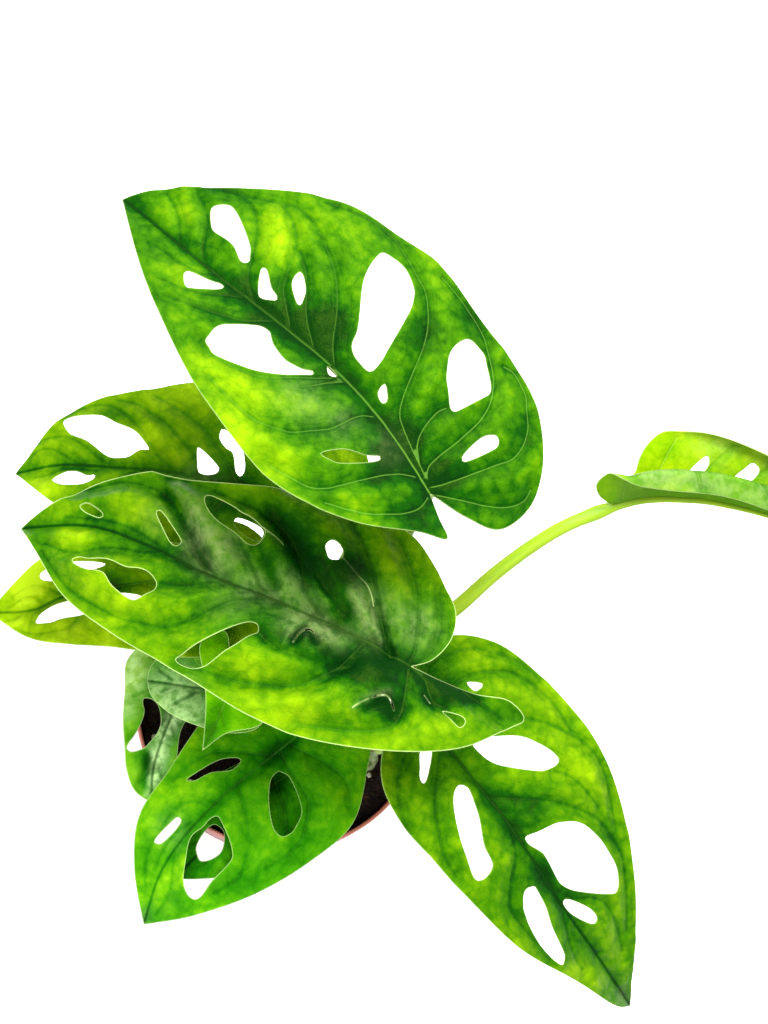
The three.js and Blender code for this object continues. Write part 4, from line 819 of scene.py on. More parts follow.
        left=[(-2, 8), (7, 17), (20, 20), (35, 18), (46, 15), (59, 6)],
        right=[(62, -5), (55, -10), (45, -16), (33, -19), (19, -17), (6, -12), (-2, -5)],
        holes=[
            [(51, -3), (40, -5), (39, 0), (45, 5), (53, 2)],
        ],
        veins=[
            [(0, 0), (-2, 3)], [(12, -1), (15, 8), (21, 17)], [(28, -2), (43, 12)], [(44, -1), (53, 4)],
            [(0, 0), (-2, -3)], [(12, -1), (14, -7), (17, -14)], [(28, -2), (42, -13)], [(44, -1), (53, -6)],
        ],
        petiole=[(37, -22, 94), (26, -27, 104), (15, -26, 112)],
        petiole_radius=1.3,
        pale_veins=0.2, pale_rim=0.5, rib_end=36,
        tone=0,
        light=[(25, 0, 20, -0.05)],
        painted_sheen=[],
    ),
}
BLADE_THICKNESS = 0.5
RIM_THICKNESS = 0.4       # the blade thins over two bands, from 1.5 mm inside its margin
RIM_BAND = 0.4
MARGIN_THICKNESS = 0.28
VEIN_STEP = 0.9           # between the points along a vein
FINE_VEIN_GAP = 2.4
NET_MESH = 3.2
CUSHION_WIDTH = 6
PETIOLE_SIDES = 16
SHEATH_LENGTH = 8         # over which a petiole's thick base thins
RIB_START = 3             # from the blade's base, where the rib sinks into the blade
RIB_RADIUS = 1.05
RIB_TIP_RADIUS = 0.3


def rib_y(leaf, x):
    """Sideways place of the midrib at distance x from the base."""
    knots = np.array([(0, 0), *leaf["rib"], (leaf["length"], 0)], float)
    slopes = np.array([(b[1] - a[1]) / (b[0] - a[0])
                       for a, b in zip([knots[0], *knots[:-1]], [*knots[1:], knots[-1]])])
    i = np.clip(np.searchsorted(knots[:, 0], x) - 1, 0, len(knots) - 2)
    span = knots[i + 1, 0] - knots[i, 0]
    t = (x - knots[i, 0]) / span
    h = t * t * (3 - 2 * t)
    y = (knots[i, 1] * (1 - h) + knots[i + 1, 1] * h
         + span * (slopes[i] * t * (1 - t) ** 2 - slopes[i + 1] * t * t * (1 - t)))
    return np.where((x <= 0) | (x >= leaf["length"]), 0, y)


def vein_lines(leaf):
    """The side veins as flat polylines with evenly spaced points."""
    return [spaced(line, VEIN_STEP) for line in leaf["veins"]]


def distance_to(points, lines, closed=False):
    """Shortest distance from each flat point to any of the polylines."""
    best = np.full(len(points), 1e3)
    for line in lines:
        a = line if closed else line[:-1]
        b = np.roll(line, -1, axis=0) if closed else line[1:]
        ab = b - a
        t = np.einsum("pkc,kc->pk", points[:, None] - a, ab) / np.maximum(1e-9, (ab ** 2).sum(axis=1))
        nearest = a + np.clip(t, 0, 1)[..., None] * ab
        best = np.minimum(best, np.linalg.norm(points[:, None] - nearest, axis=2).min(axis=1))
    return best


def folded(leaf, points):
    """Height that ridges and furrows add at each flat point."""
    total = np.zeros(len(points))
    for width, height, line in leaf.get("folds", []):
        total += height * np.exp(-((distance_to(points, [spaced(line, 1)]) / width) ** 2))
    return total


def blade_height(leaf, x, y, to_vein):
    """Height of the blade's middle surface: arch, fold, droop, puckers and a waved margin."""
    u = x / leaf["length"]
    d = y - rib_y(leaf, x)
    reach = np.abs(d) / leaf["half_width"]
    puckers = leaf["pucker"] * (1 - np.exp(-((to_vein / 5) ** 2))) * np.minimum(1, np.abs(d) / 8)
    waves = leaf["wave"] * np.sin(x / 8 + np.where(d < 0, 2, 0)) * reach ** 2
    arched = 4 * leaf["arch"] * u * (1 - u) + leaf["fold"] * np.abs(d) - leaf["droop"] * reach ** 2
    return arched + puckers + waves + folded(leaf, np.c_[x, y])


def flat_blade(leaf, step):
    """Outline, holes and fine triangles of the blade while it is flat."""
    tip = (leaf["length"], 0)
    left = spaced([(0, 0), *leaf["left"], tip], step)
    right = spaced([tip, *leaf["right"], (0, 0)], step)
    loops = [np.vstack([left[:-1], right[:-1]])]
    loops += [spaced(hole, step * 0.8, closed=True) for hole in leaf["holes"]]

    rims = []
    for loop in loops:
        along = np.roll(loop, -1, axis=0) - np.roll(loop, 1, axis=0)
        across = np.c_[-along[:, 1], along[:, 0]] / np.linalg.norm(along, axis=1)[:, None]
        for way in (RIM_BAND, -RIM_BAND):
            near = loop + way * across
            near = near[within(near, loops)]
            rims.append(near[distance_to(near, loops, closed=True) > 0.75 * RIM_BAND])

    # Rows along the midrib, with one on each flank, along the veins and along doubled-over edges.
    rib_x = np.arange(1.0, leaf["length"], VEIN_STEP)
    rib = np.c_[rib_x, rib_y(leaf, rib_x)]
    veins = np.vstack(vein_lines(leaf))
    veins = veins[distance_to(veins, [rib]) > 1.5]
    edges = [spaced(line, 0.6) for line in leaf.get("edges", [])]
    ridges = np.vstack([rib, rib + (0, 0.8), rib - (0, 0.8), veins, *edges])
    ridges = ridges[within(ridges, loops)]
    ridges = ridges[distance_to(ridges, loops, closed=True) > 0.8]
    tree = kdtree.KDTree(len(ridges))
    for i, point in enumerate(ridges):
        tree.insert((*point, 0), i)
    tree.balance()

    # An even net of points fills the rest, clear of margins and rows.
    xs = np.arange(-60, leaf["length"] + 10, step)
    rows = np.arange(-75, 75, step * 0.866)
    grid = np.array([(x + (step / 2 if k % 2 else 0), y) for k, y in enumerate(rows) for x in xs])
    grid = grid[within(grid, loops)]
    grid = grid[distance_to(grid, loops, closed=True) > 0.9]
    grid = grid[[tree.find((*p, 0))[2] > 0.7 for p in grid]]
    return loops, *fill(loops, [*rims, ridges, grid])


def leaf_turn(leaf):
    """Matrix from the flat blade's own frame to the pot's."""
    h, p = math.radians(leaf["heading"]), math.radians(leaf["pitch"])
    turn_z = np.array([[math.cos(h), -math.sin(h), 0], [math.sin(h), math.cos(h), 0], [0, 0, 1]])
    turn_y = np.array([[math.cos(p), 0, -math.sin(p)], [0, 1, 0], [math.sin(p), 0, math.cos(p)]])
    return turn_z @ turn_y


def soft_patches(points, patches):
    """The sum of soft round patches at each flat point."""
    total = np.zeros(len(points))
    for x, y, size, strength in patches:
        total += strength * np.exp(-((points[:, 0] - x) ** 2 + (points[:, 1] - y) ** 2) / (1.2 * size) ** 2)
    return total


def grow_leaf(name, leaf, materials, raise_blade, step):
    """Builds a leaf: the blade raised from its flat form, the petiole and the rib under the blade."""
    length = leaf["length"]
    loops, flat, triangles = flat_blade(leaf, step)
    count = len(flat)
    edges = [spaced(line, 1) for line in leaf.get("edges", [])]
    x, y = flat.T
    to_vein = distance_to(flat, vein_lines(leaf))
    to_rim = np.minimum(distance_to(flat, loops, closed=True), distance_to(flat, edges))
    d = y - rib_y(leaf, x)
    is_rib = (x > 0) & (x < length)
    to_rib = np.where(is_rib, np.abs(d), np.hypot(np.where(x < 0, x, x - length), d))
    half = 0.5 * np.interp(to_rim, [0, RIM_BAND, 1.5], [MARGIN_THICKNESS, RIM_THICKNESS, BLADE_THICKNESS])
    upper, lower = raise_blade(leaf, flat, to_vein, to_rib, to_rim, half)
    turn = leaf_turn(leaf)
    blade_points = np.vstack([upper, lower]) @ turn.T + leaf["base"]
    blade_faces = slab(triangles, count)

    # The tone rises towards the margin. Painted light lifts it on the swellings between veins and on
    # ridges, and painted shade lowers it along the midrib and in furrows. A painted sheen also lies on
    # ridges.
    side_reach = np.abs(d) / leaf["half_width"]
    crest = 1 - np.exp(-((to_vein / 4) ** 2))
    creases = folded(leaf, flat)
    patches = soft_patches(flat, leaf["light"])
    tones = (0.44 + leaf["tone"] + 0.12 * np.clip((side_reach - 0.15) / 0.6, 0, 1) + 0.14 * (crest - 0.5)
             - 0.18 * np.exp(-((to_rib / 3.5) ** 2)) + patches
             + 0.09 * np.minimum(creases, 0) + 0.03 * np.maximum(creases, 0))
    painted_sheen = np.clip(soft_patches(flat, leaf["painted_sheen"]) + 0.25 * creases, 0, 1)
    fields = {
        "tone": np.tile(tones, 2), "painted_sheen": np.tile(painted_sheen, 2), "to_rim": np.tile(to_rim, 2),
        "to_rib": np.tile(to_rib, 2), "to_vein": np.tile(to_vein, 2),
        "flat": np.tile(np.c_[x, y, np.full(count, length)], (2, 1)),
        "under": np.repeat([0.0, 1.0], count), "along": np.zeros(2 * count),
        "pale_veins": np.tile(leaf["pale_veins"] * np.exp(-((x / (0.45 * length)) ** 2)), 2),
        # The pale margin fades where the light patches darken the blade, following their painted shade.
        "pale_rim": np.tile(leaf["pale_rim"] * np.clip(1 + 2 * patches, 0.1, 1), 2),
    }

    # One tube is the petiole and then the rib, which is sunk into the blade's lower face. The petiole
    # is thick where it sheathes the stem and swells into a knee just before the blade.
    end = leaf.get("rib_end", length * 0.94)
    rib_x = RIB_START + (end - RIB_START) * np.linspace(0, 1, 26) ** 1.5
    under = np.c_[rib_x, rib_y(leaf, rib_x)]
    _, low = raise_blade(leaf, under, np.zeros(len(under)), np.zeros(len(under)), np.full(len(under), 9.0),
                         np.full(len(under), BLADE_THICKNESS / 2))
    thickest = leaf.get("rib_radius", RIB_RADIUS)
    sink = np.linspace(thickest, RIB_TIP_RADIUS, len(low)) - 0.05 + 0.9 * np.exp(-rib_x / 9)
    low = low - np.c_[np.zeros((len(low), 2)), sink]
    centres = spaced([*leaf["petiole"], *(low @ turn.T + leaf["base"])], 1.4)
    run = np.concatenate([[0], np.cumsum(np.linalg.norm(np.diff(centres, axis=0), axis=1))])
    petiole_length = run[-1] - end
    sheath = 1 + 0.5 * np.exp(-run / leaf.get("sheath", SHEATH_LENGTH))
    on_rib = np.clip((run - petiole_length) / end, 0, 1)
    rib_radius = thickest * (1 - on_rib) + RIB_TIP_RADIUS * on_rib
    t = np.clip((run - petiole_length + 9) / 12, 0, 1)
    blend = t * t * (3 - 2 * t)
    knee = 0.15 * leaf["petiole_radius"] * np.exp(-(((run - petiole_length + 7) / 5) ** 2))
    radii = leaf["petiole_radius"] * sheath * (1 - blend) + rib_radius * blend + knee
    tube_points, tube_faces = tube(centres, radii, PETIOLE_SIDES, groove=0.16)

    # On the tube, tone is how far a point faces up and flat runs round and along the skin.
    along = np.append(np.repeat(np.clip(run / petiole_length, 0, 1.5), PETIOLE_SIDES), (0, 1.5))
    turns = np.tile(np.arange(PETIOLE_SIDES) * 2 * math.pi / PETIOLE_SIDES, len(run))
    skin = np.c_[2 * np.cos(turns), 2 * np.sin(turns), np.repeat(run / 14, PETIOLE_SIDES)]
    fields["flat"] = np.vstack([fields["flat"], skin, skin[:1], skin[-1:]])
    upward = (tube_points[:-2] - np.repeat(centres, PETIOLE_SIDES, axis=0))[:, 2]
    upward = np.append(upward / np.repeat(radii, PETIOLE_SIDES), (0, 0))
    on_tube = {"along": along, "tone": upward}
    for field, values in fields.items():
        if values.ndim == 1:
            fields[field] = np.concatenate([values, on_tube.get(field, np.zeros(len(tube_points)))])
    faces = blade_faces + [tuple(i + len(blade_points) for i in face) for face in tube_faces]
    face_material = [0] * len(blade_faces) + [1] * len(tube_faces)
    put(name + "_blade", np.vstack([blade_points, tube_points]), faces, materials, [name],
        face_material, fields)


def open_blade(leaf, flat, to_vein, to_rib, to_rim, half):
    """Upper and lower face of a fully open blade, with sunken veins and a grooved midrib."""
    x, y = flat.T
    z = blade_height(leaf, x, y, to_vein)
    z = z + 0.35 * (1 - np.exp(-((to_vein / 1.1) ** 2))) * np.minimum(1, to_rib / 3)
    z = z - 0.35 * np.exp(-((to_rib / 1.3) ** 2)) - 0.35
    swell = np.array([noise.fractal(Vector((a / 7, b / 7, leaf["length"])), 0.8, 2.0, 2) for a, b in flat])
    z = z + 0.5 * swell * np.minimum(1, to_rim / 3)
    return np.c_[x, y, z + half], np.c_[x, y, z - half]


def leaf_blade_material(name, stops, vein_colour, rim_colour, under_colour, sheen_colour, glow_colour, glow):
    """Living leaf tissue: cuticle over green cells, with a net of veins, a pale thin margin, painted
    sheen in places, painted light and shade on its relief, and light that comes through from below."""
    material, tree = blank_material(name)
    place = add(tree, "TexCoord").outputs["Object"]
    flat = add(tree, "Attribute", attribute_name="flat").outputs["Vector"]
    tone, painted_sheen, to_rib, to_rim, to_vein, under, pale_veins, pale_rim = (
        add(tree, "Attribute", attribute_name=field).outputs["Fac"]
        for field in ("tone", "painted_sheen", "to_rib", "to_rim", "to_vein", "under", "pale_veins", "pale_rim"))

    # Finer veins wander along beside the side veins, with a net of meshes between them. The blade
    # swells in small cushions, its colour is mottled at 12 and 4.2 mm and its skin at 1.1 mm.
    wander = add(tree, "TexNoise", {"Vector": flat, "Scale": 1 / 7, "Detail": 2.0})
    fine = add(tree, "Math", {0: to_vein, 1: FINE_VEIN_GAP}, operation="DIVIDE")
    fine = add(tree, "Math", {0: wander, 1: 1.2, 2: fine}, operation="MULTIPLY_ADD")
    fine = add(tree, "Math", {0: fine}, operation="FRACT")
    fine = add(tree, "Math", {0: fine, 1: 0.5}, operation="SUBTRACT")
    fine = add(tree, "Math", {0: fine}, operation="ABSOLUTE")
    fine = add(tree, "Math", {0: fine, 1: FINE_VEIN_GAP}, operation="MULTIPLY")
    net = add(tree, "TexVoronoi", {"Vector": flat, "Scale": 1 / NET_MESH, "Randomness": 0.9},
              feature="DISTANCE_TO_EDGE")
    bend = add(tree, "TexNoise", {"Vector": flat, "Scale": 1 / 5, "Detail": 1.0}).outputs["Color"]
    bent = add(tree, "VectorMath", {0: bend, 1: (3.0, 3.0, 3.0), 2: flat}, operation="MULTIPLY_ADD")
    cushion = add(tree, "TexVoronoi", {"Vector": bent, "Scale": 1 / CUSHION_WIDTH, "Randomness": 0.85},
                  feature="DISTANCE_TO_EDGE")
    cushion = add(tree, "MapRange", {"Value": cushion, "From Max": 0.32})
    broad, middle = (
        add(tree, "TexNoise", {"Vector": place, "Scale": 1 / (size * MM), "Detail": 3.0, "Roughness": rough})
        for size, rough in ((12, 0.5), (4.2, 0.6)))
    cells = add(tree, "TexNoise", {"Vector": place, "Scale": 1 / (1.1 * MM), "Detail": 2.0})

    # Each line is 1 along its middle and fades to 0 at its outer distance. All of them end at the midrib.
    beside = add(tree, "MapRange", {"Value": to_rib, "From Min": 0.6, "From Max": 1.8})
    lines = []
    for distance, outer, inner in ((to_vein, 0.30, 0.05), (to_vein, 1.3, 0.15), (fine, 0.36, 0.06),
                                   (net, 0.10, 0.0)):
        line = add(tree, "MapRange", {"Value": distance, "From Min": outer, "From Max": inner})
        lines.append(add(tree, "Math", {0: line, 1: beside}, operation="MULTIPLY"))
    vein_core, vein_flank, fine_line, net_line = lines

    # The tone picks the green. Its broad and middle mottling is the leaf's own. The cushions' lighter
    # middles and darker edges are painted light and shade on the swellings, and the darker flank beside
    # each side vein is painted shade. Painted shade in the furrows along dark veins and the midrib takes it
    # down further.
    for pattern, low, high, least, most in ((broad, 0.32, 0.68, -0.08, 0.08),
                                            (middle, 0.25, 0.75, -0.08, 0.08), (cushion, 0, 1, -0.07, 0.04)):
        shift = add(tree, "MapRange", {"Value": pattern, "From Min": low, "From Max": high,
                                       "To Min": least, "To Max": most})
        tone = add(tree, "Math", {0: tone, 1: shift}, operation="ADD")
    for line, darker in ((net_line, -0.03), (fine_line, -0.02), (vein_flank, -0.09)):
        tone = add(tree, "Math", {0: line, 1: darker, 2: tone}, operation="MULTIPLY_ADD")
    rib_furrow = add(tree, "MapRange", {"Value": to_rib, "From Min": 0.9, "From Max": 0.1})
    vein_furrow = add(tree, "MapRange", {"Value": to_vein, "From Min": 0.5, "From Max": 0.05, "To Max": 0.15})
    furrow = add(tree, "Math", {0: rib_furrow, 1: vein_furrow}, operation="MAXIMUM")
    darkness = add(tree, "MapRange", {"Value": pale_veins, "From Max": 0.2, "To Min": 0.30, "To Max": 0.0})
    furrow = add(tree, "Math", {0: furrow, 1: darkness}, operation="MULTIPLY")
    tone = add(tree, "Math", {0: tone, 1: furrow}, operation="SUBTRACT")
    green = add(tree, "ValToRGB", {"Fac": tone}, stops=stops)

    # The painted sheen lies in flecks and falls away along veins and in the midrib's groove.
    sheen_share = painted_sheen
    for pattern, low, high, least, most in ((middle, 0.40, 0.56, 0.35, 1.0), (fine_line, 0.0, 1.0, 1.0, 0.85),
                                            (vein_flank, 0.0, 1.0, 1.0, 0.4), (to_rib, 0.2, 0.9, 0.25, 1.0)):
        share = add(tree, "MapRange", {"Value": pattern, "From Min": low, "From Max": high,
                                       "To Min": least, "To Max": most})
        sheen_share = add(tree, "Math", {0: sheen_share, 1: share}, operation="MULTIPLY")
    sheen_share = add(tree, "Math", {0: sheen_share, 1: 0.75}, operation="MULTIPLY")
    pale_core = add(tree, "Math", {0: vein_core, 1: pale_veins}, operation="MULTIPLY")
    pale_core = add(tree, "Math", {0: pale_core, 1: 0.8}, operation="MULTIPLY")
    pale_rib = add(tree, "MapRange", {"Value": to_rib, "From Min": 0.45, "From Max": 0.15})
    pale_rib = add(tree, "Math", {0: pale_rib, 1: pale_veins}, operation="MULTIPLY")
    under_share = add(tree, "Math", {0: under, 1: 0.5}, operation="MULTIPLY")
    margin = add(tree, "MapRange", {"Value": to_rim, "From Min": 0.36, "From Max": 0.12})
    margin = add(tree, "Math", {0: margin, 1: pale_rim}, operation="MULTIPLY")
    for amount, colour in ((sheen_share, sheen_colour), (pale_core, vein_colour), (pale_rib, vein_colour),
                           (under_share, under_colour), (margin, rim_colour)):
        green = add(tree, "MixRGB", {"Fac": amount, "Color1": green, "Color2": linear(colour)})

    # Relief in millimetres: sunken veins and net, swollen cushions, raised midrib edge, fine cells.
    vein_dip = add(tree, "MapRange", {"Value": to_vein, "From Min": 1.1, "From Max": 0.0})
    rib_edge = add(tree, "MapRange", {"Value": to_rib, "From Min": 0.5, "From Max": 0.0})
    relief = 0.0
    for pattern, height in ((vein_dip, -0.16), (fine_line, -0.025), (net_line, -0.04), (cushion, 0.12),
                            (middle, 0.30), (cells, 0.04), (rib_edge, 0.22)):
        relief = add(tree, "Math", {0: pattern, 1: height, 2: relief}, operation="MULTIPLY_ADD")
    bump = add(tree, "Bump", {"Height": relief, "Strength": 1.0, "Distance": MM})

    # A waxy cuticle has an IOR of 1.42, and its soft sheen takes on the green of the cells below.
    rough = add(tree, "MapRange", {"Value": cells, "To Min": 0.34, "To Max": 0.48})
    rough = add(tree, "Math", {0: under, 1: 0.25, 2: rough}, operation="MULTIPLY_ADD")
    surface = add(tree, "BsdfPrincipled", {
        "Base Color": green, "Roughness": rough, "Normal": bump, "IOR": 1.42, "Specular IOR Level": 0.16,
        "Specular Tint": linear("#9dd020")})
    through = add(tree, "MixRGB", {"Fac": 0.45, "Color1": green, "Color2": linear(glow_colour)})
    through = add(tree, "BsdfTranslucent", {"Color": through, "Normal": bump})
    mixed = add(tree, "MixShader", {"Fac": glow, 1: surface, 2: through})
    add(tree, "OutputMaterial", {"Surface": mixed})
    return material


def petiole_material(name, low_colour, high_colour):
    """Petiole and rib: fleshy, smooth and satin, with fine lengthwise streaks and a channel darkened by
    painted shade.
    """
    material, tree = blank_material(name)
    skin = add(tree, "Attribute", attribute_name="flat").outputs["Vector"]
    along, upward = (add(tree, "Attribute", attribute_name=field).outputs["Fac"]
                     for field in ("along", "tone"))
    streaks = add(tree, "TexNoise", {"Vector": skin, "Scale": 1.0, "Detail": 4.0, "Distortion": 0.2})
    streak = add(tree, "MapRange", {"Value": streaks, "From Min": 0.4, "From Max": 0.7, "To Max": 0.4})
    # Painted shade darkens the channel along the top, where the skin faces up.
    channel = add(tree, "MapRange", {"Value": upward, "From Min": 0.70, "From Max": 0.95, "To Max": 0.5})
    green = add(tree, "MixRGB", {"Fac": along, "Color1": linear(low_colour), "Color2": linear(high_colour)})
    for amount, darker in ((streak, "#4d7418"), (channel, "#567c10")):
        green = add(tree, "MixRGB", {"Fac": amount, "Color1": green, "Color2": linear(darker)})
    relief = add(tree, "Bump", {"Height": streaks, "Strength": 0.3, "Distance": 0.2 * MM})
    shader = add(tree, "BsdfPrincipled", {"Base Color": green, "Roughness": 0.5, "Specular IOR Level": 0.2,
                                          "Normal": relief})
    add(tree, "OutputMaterial", {"Surface": shader})
    return material


# Grown leaf: deep to bright green, glossy cuticle, pale veins and a pale thin margin.
grown_leaf = leaf_blade_material(
    "grown_leaf_cuticle",
    stops=[(0.0, "#032806"), (0.2, "#0b4204"), (0.4, "#306303"), (0.6, "#577f04"), (0.8, "#789b06"),
           (1.0, "#9ab916")],
    vein_colour="#72a83a", rim_colour="#b6cc80", under_colour="#76964e", sheen_colour="#6c8049",
    glow_colour="#7aa60a", glow=0.22)

# Older leaf low on the plant: more pigment, so a deeper and purer green, made purer still as painted
# shade from the leaves above.
older_shaded_leaf = leaf_blade_material(
    "older_shaded_leaf_cuticle",
    stops=[(0.0, "#032c08"), (0.2, "#0a4a04"), (0.4, "#1c6a04"), (0.6, "#3a8206"), (0.8, "#609c08"),
           (1.0, "#8cb91c")],
    vein_colour="#5fa03a", rim_colour="#a6c078", under_colour="#76964e", sheen_colour="#7f9c5c",
    glow_colour="#5fa60a", glow=0.22)

# Older leaf whose painted sheen is brighter and paler grey-green than on the other leaves.
bright_sheen_leaf = leaf_blade_material(
    "bright_sheen_leaf_cuticle",
    stops=[(0.0, "#063a08"), (0.2, "#125808"), (0.4, "#2e780c"), (0.6, "#549412"), (0.8, "#78ac1c"),
           (1.0, "#9cc430")],
    vein_colour="#8ab45c", rim_colour="#bcd290", under_colour="#86a65e", sheen_colour="#c6ea9e",
    glow_colour="#6fae14", glow=0.22)

grown_petiole = petiole_material("grown_petiole", "#90a266", "#6f902a")

cuticles = {"leaf_front": older_shaded_leaf, "leaf_under_front": older_shaded_leaf, "leaf_folded": bright_sheen_leaf,
            "leaf_small_oval": bright_sheen_leaf}
for name, leaf in GROWN_LEAVES.items():
    # The net of points is a little wider on large blades.
    step = 1.15 if leaf["length"] > 90 else 0.95
    grow_leaf(name, leaf, [cuticles.get(name, grown_leaf), grown_petiole], open_blade, step)


# ---- small lime leaf ----------------------------------------------------------------------
# A recent small leaf, one piece like the others, soft and still yellow-lime.
# It hangs tip down from a thin petiole of the left stem.

SMALL_LIME = dict(
    base=(-23, -2, 154), heading=-111, pitch=-28, length=34, half_width=18,
    arch=4, fold=0.25, droop=2, pucker=0.6, wave=0.3,
    rib=[(14, 1)],
    left=[(-2, 6), (1, 14), (8, 18), (15, 16), (23, 6)],
    right=[(26, -2), (14, -6), (5, -11), (-3, -16), (-10, -15), (-10, -9), (-5, -5)],
    holes=[],
    veins=[
        [(0, 0), (-2, 3)], [(7, 0), (10, 7), (13, 12)], [(16, 1), (20, 4)], [(24, 0), (30, 3)],
        [(0, 0), (-8, -8), (-9, -10), (-9, -13)], [(5, 0), (7, -7)], [(14, 1), (17, -2)], [(22, 1), (27, -3)],
    ],
    petiole=[(-2, 17, 119), (0, 12, 131), (-5, 5, 146), (-14, 1, 154)],
    petiole_radius=1.2,
    pale_veins=0.4, pale_rim=0.75,
    tone=0.08,
    light=[(2, 4, 9, 0.35), (26, 0, 8, -0.12)],
    painted_sheen=[],
)

# Leaf tissue a few weeks old: still thin and lime, but with its first green, made brighter as painted
# light because the leaf hangs in the shade of the leaves above.
greening_lit_leaf = leaf_blade_material(
    "greening_lit_leaf_cuticle",
    stops=[(0.0, "#2a6a02"), (0.3, "#3f8e02"), (0.55, "#5caa04"), (0.8, "#7cc00a"), (1.0, "#9ad022")],
    vein_colour="#9cc456", rim_colour="#c4da8c", under_colour="#7eae2c", sheen_colour="#b0cc6c",
    glow_colour="#8cc818", glow=0.3)
young_petiole = petiole_material("young_petiole", "#8ca41a", "#789612")
grow_leaf("leaf_small_lime", SMALL_LIME, [greening_lit_leaf, young_petiole], open_blade, 0.9)


# ---- newest leaf --------------------------------------------------------------------------
# The newest leaf is still unrolling: both halves stand up from the midrib and roll over at the
# margin, so its underside shows, pale with painted sheen. It is held out on a long arched petiole.

# curl is how the left half (1) and the right half (-1) roll. A half rises from the midrib at rise
# degrees. Beyond start, which shrinks by taper for each millimetre towards the tip, it turns over by
# fall degrees within the width of over.
NEW_LEAF = dict(
    base=(112, 56, 196), heading=-8, pitch=-4, length=122, half_width=38, arch=6,
    curl={1: dict(rise=20, fall=-130, start=26, over=8, taper=0.16),
          -1: dict(rise=112, fall=142, start=14.6, over=5, taper=0.05)},
    rib=[(12, 5), (24, 7.5), (40, 9), (70, 7.5)],
    left=[(3, 8), (6.5, 14), (7, 19), (9, 25), (14, 31), (22, 33), (32, 35), (55, 34), (75, 29), (100, 17)],
    right=[(108, -7), (90, -12), (66, -15), (38, -15), (14, -19), (2, -20), (-6, -17), (-9, -10), (-6, -4)],
    holes=[
        [(26, 15), (29, 21), (33, 25), (34, 22), (31, 17)],
        [(45, 19), (48, 23), (51, 26), (54, 24), (51, 19)],
    ],
    veins=[
        [(4, 2), (3, 4)], [(15, 6), (16, 17), (20, 30)], [(29, 8), (35, 21), (43, 32)],
        [(42, 9), (50, 18), (61, 29)], [(62, 8), (71, 14), (84, 21)], [(84, 5), (99, 11)],
        [(102, 3), (109, 5)], [(4, 2), (2, -8), (2, -17)], [(20, 7), (23, -4), (28, -14)],
        [(40, 9), (47, -1), (57, -12)], [(60, 8), (81, -10)], [(80, 6), (96, -5)], [(100, 3), (107, -1)],
    ],
    petiole=[(39, 4, 141), (41, 11, 151), (48, 15.5, 157.5), (59.6, 23.5, 164.5), (71.8, 34, 172.8),
             (84, 42.7, 180.9), (96, 49.2, 189)],
    petiole_radius=2.25, sheath=70, rib_radius=1.9,
    pale_veins=0.35, pale_rim=0.6,
    tone=-0.08,
    # The dark patches along and beside the midrib are painted shade under the rolled halves.
    light=[(20, 20, 12, 0.2), (48, 28, 10, 0.1), (10, -14, 8, -0.2), (30, -13, 8, -0.2), (50, -12, 8, -0.2),
           (70, -11, 8, -0.2), (15, 1, 6, -0.45), (30, 2, 6, -0.5), (45, 3, 6, -0.5), (60, 2, 6, -0.5),
           (75, 2, 6, -0.5), (90, 2, 6, -0.5)],
    painted_sheen=[(8, -14, 7, 0.6), (22, -13, 7, 0.5), (36, -12, 7, 0.4), (50, -11, 7, 0.4), (66, -11, 8, 0.4),
          (90, -9, 9, 0.4), (60, 33, 8, 0.4), (85, 24, 8, 0.5), (35, 33, 8, 0.3)],
)
ROLL_STEPS = 60


def rolled_blade(leaf, flat, to_vein, to_rib, to_rim, half):
    """Upper and lower face of a blade whose halves rise from the midrib and roll at the margin."""
    x, y = flat.T
    rib = rib_y(leaf, x)
    side = np.where(y < rib, -1, 1)
    reach = np.abs(y - rib)
    angle, across, raised = np.zeros((3, len(x)))
    for way, curl in leaf["curl"].items():
        here = side == way
        start = curl["start"] - curl["taper"] * x
        for i in range(ROLL_STEPS + 1):
            t = np.clip((i / ROLL_STEPS * reach - start) / curl["over"], 0, 1)
            turn = np.radians(curl["rise"] - curl["fall"] * t)
            if i < ROLL_STEPS:
                across += np.where(here, reach / ROLL_STEPS * np.cos(turn), 0)
                raised += np.where(here, reach / ROLL_STEPS * np.sin(turn), 0)
        angle = np.where(here, turn, angle)
    u = x / leaf["length"]
    middle_y = rib + side * across
    middle_z = (4 * leaf["arch"] * u * (1 - u) + raised
                + 0.3 * (1 - np.exp(-((to_vein / 1.5) ** 2))) * (to_rib > 2))
    on_rib = reach < 0.4
    out_y = np.where(on_rib, 0, -side * np.sin(angle))
    out_z = np.where(on_rib, 1, np.cos(angle))
    return (np.c_[x, middle_y + half * out_y, middle_z + half * out_z],
            np.c_[x, middle_y - half * out_y, middle_z - half * out_z])


# Leaf tissue just unrolled: thin with little pigment, so it is lime and lets more light through.
# Its underside colour is darkened as painted shade under the rolled halves.
young_leaf = leaf_blade_material(
    "young_leaf_cuticle",
    stops=[(0.0, "#2a6402"), (0.3, "#4e8202"), (0.55, "#789c04"), (0.8, "#96ac08"), (1.0, "#a8ba1e")],
    vein_colour="#a2bb56", rim_colour="#bccd8c", under_colour="#5f8c10", sheen_colour="#92a866",
    glow_colour="#a0c018", glow=0.3)
grow_leaf("leaf_new", NEW_LEAF, [young_leaf, young_petiole], rolled_blade, 0.95)


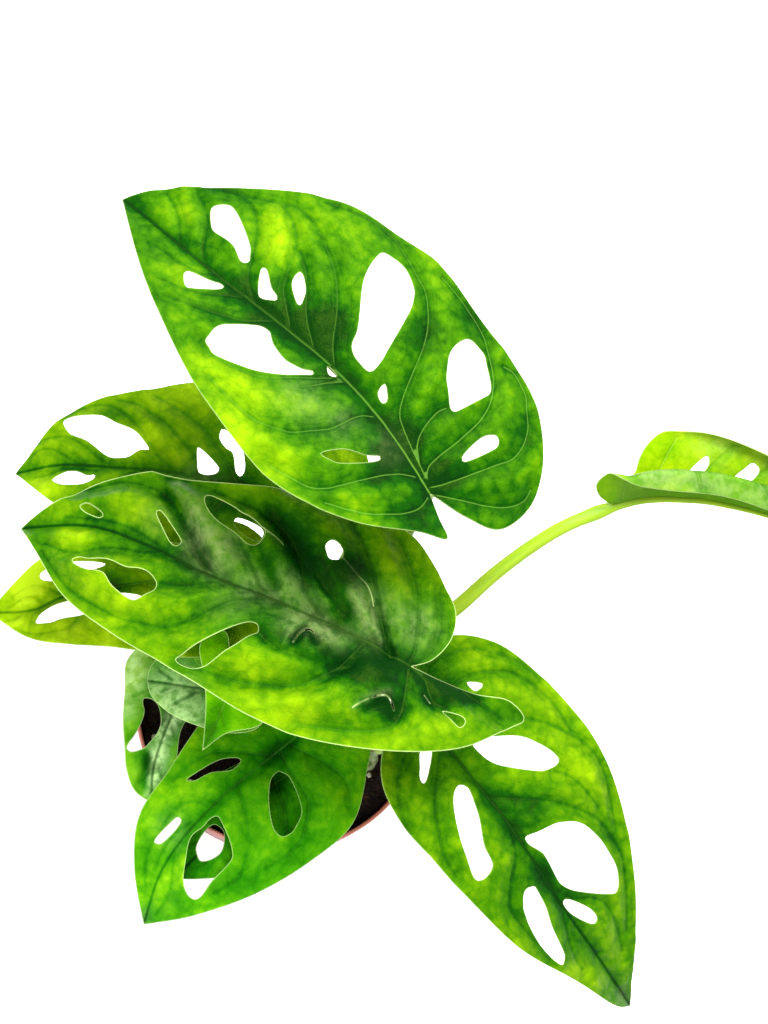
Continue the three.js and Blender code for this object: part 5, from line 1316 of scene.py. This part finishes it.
# ---- studio -------------------------------------------------------------------------------
# The plant stands on a plain matt white floor, which isn't part of it. White air all round, one
# square softbox overhead and one in front give bright, nearly shadowless light.

FLOOR_REACH = 4     # metres from the pot to each side of the floor
CAMERA_PLACE = (-0.0538, -0.1480, 0.6692)
CAMERA_TURN = Matrix(((0.98623, 0, 0.16540), (-0.06237, 0.92617, 0.37191), (-0.15319, -0.37710, 0.91342)))

studio_white, tree = blank_material("studio_white")
shader = add(tree, "BsdfPrincipled", {"Base Color": linear("#fafbfa"), "Roughness": 0.9})
add(tree, "OutputMaterial", {"Surface": shader})
floor = bpy.data.objects.new("floor", bpy.data.meshes.new("floor"))
corners = [(x * FLOOR_REACH, y * FLOOR_REACH, 0) for x, y in ((-1, -1), (1, -1), (1, 1), (-1, 1))]
floor.data.from_pydata(corners, [], [(0, 1, 2, 3)])
floor.data.materials.append(studio_white)
bpy.context.scene.collection.objects.link(floor)

world = bpy.data.worlds.new("studio_air")
world.use_nodes = True
background = world.node_tree.nodes["Background"]
background.inputs["Color"].default_value = linear("#ffffff")
background.inputs["Strength"].default_value = 0.8
bpy.context.scene.world = world
bpy.context.scene.view_settings.view_transform = "Standard"

for name, place, aim, size, power in (
    ("overhead_softbox", (0.15, 0.35, 1.25), (0, 0, 0.15), 0.8, 45),
    ("front_softbox", (-0.7, -1.0, 1.1), (0, 0, 0.15), 0.9, 24),
):
    lamp = bpy.data.lights.new(name, "AREA")
    lamp.size = size
    lamp.energy = power
    light = bpy.data.objects.new(name, lamp)
    light.location = place
    light.rotation_euler = (Vector(place) - Vector(aim)).to_track_quat("Z", "Y").to_euler()
    bpy.context.scene.collection.objects.link(light)

# The rows of CAMERA_TURN point to the camera's right, up and back.
camera = bpy.data.objects.new("camera", bpy.data.cameras.new("camera"))
camera.data.lens = 50
camera.data.sensor_width = 36
camera.data.clip_start = 0.01
stand = CAMERA_TURN.transposed().to_4x4()
stand.translation = CAMERA_PLACE
camera.matrix_world = stand
bpy.context.scene.collection.objects.link(camera)
bpy.context.scene.camera = camera
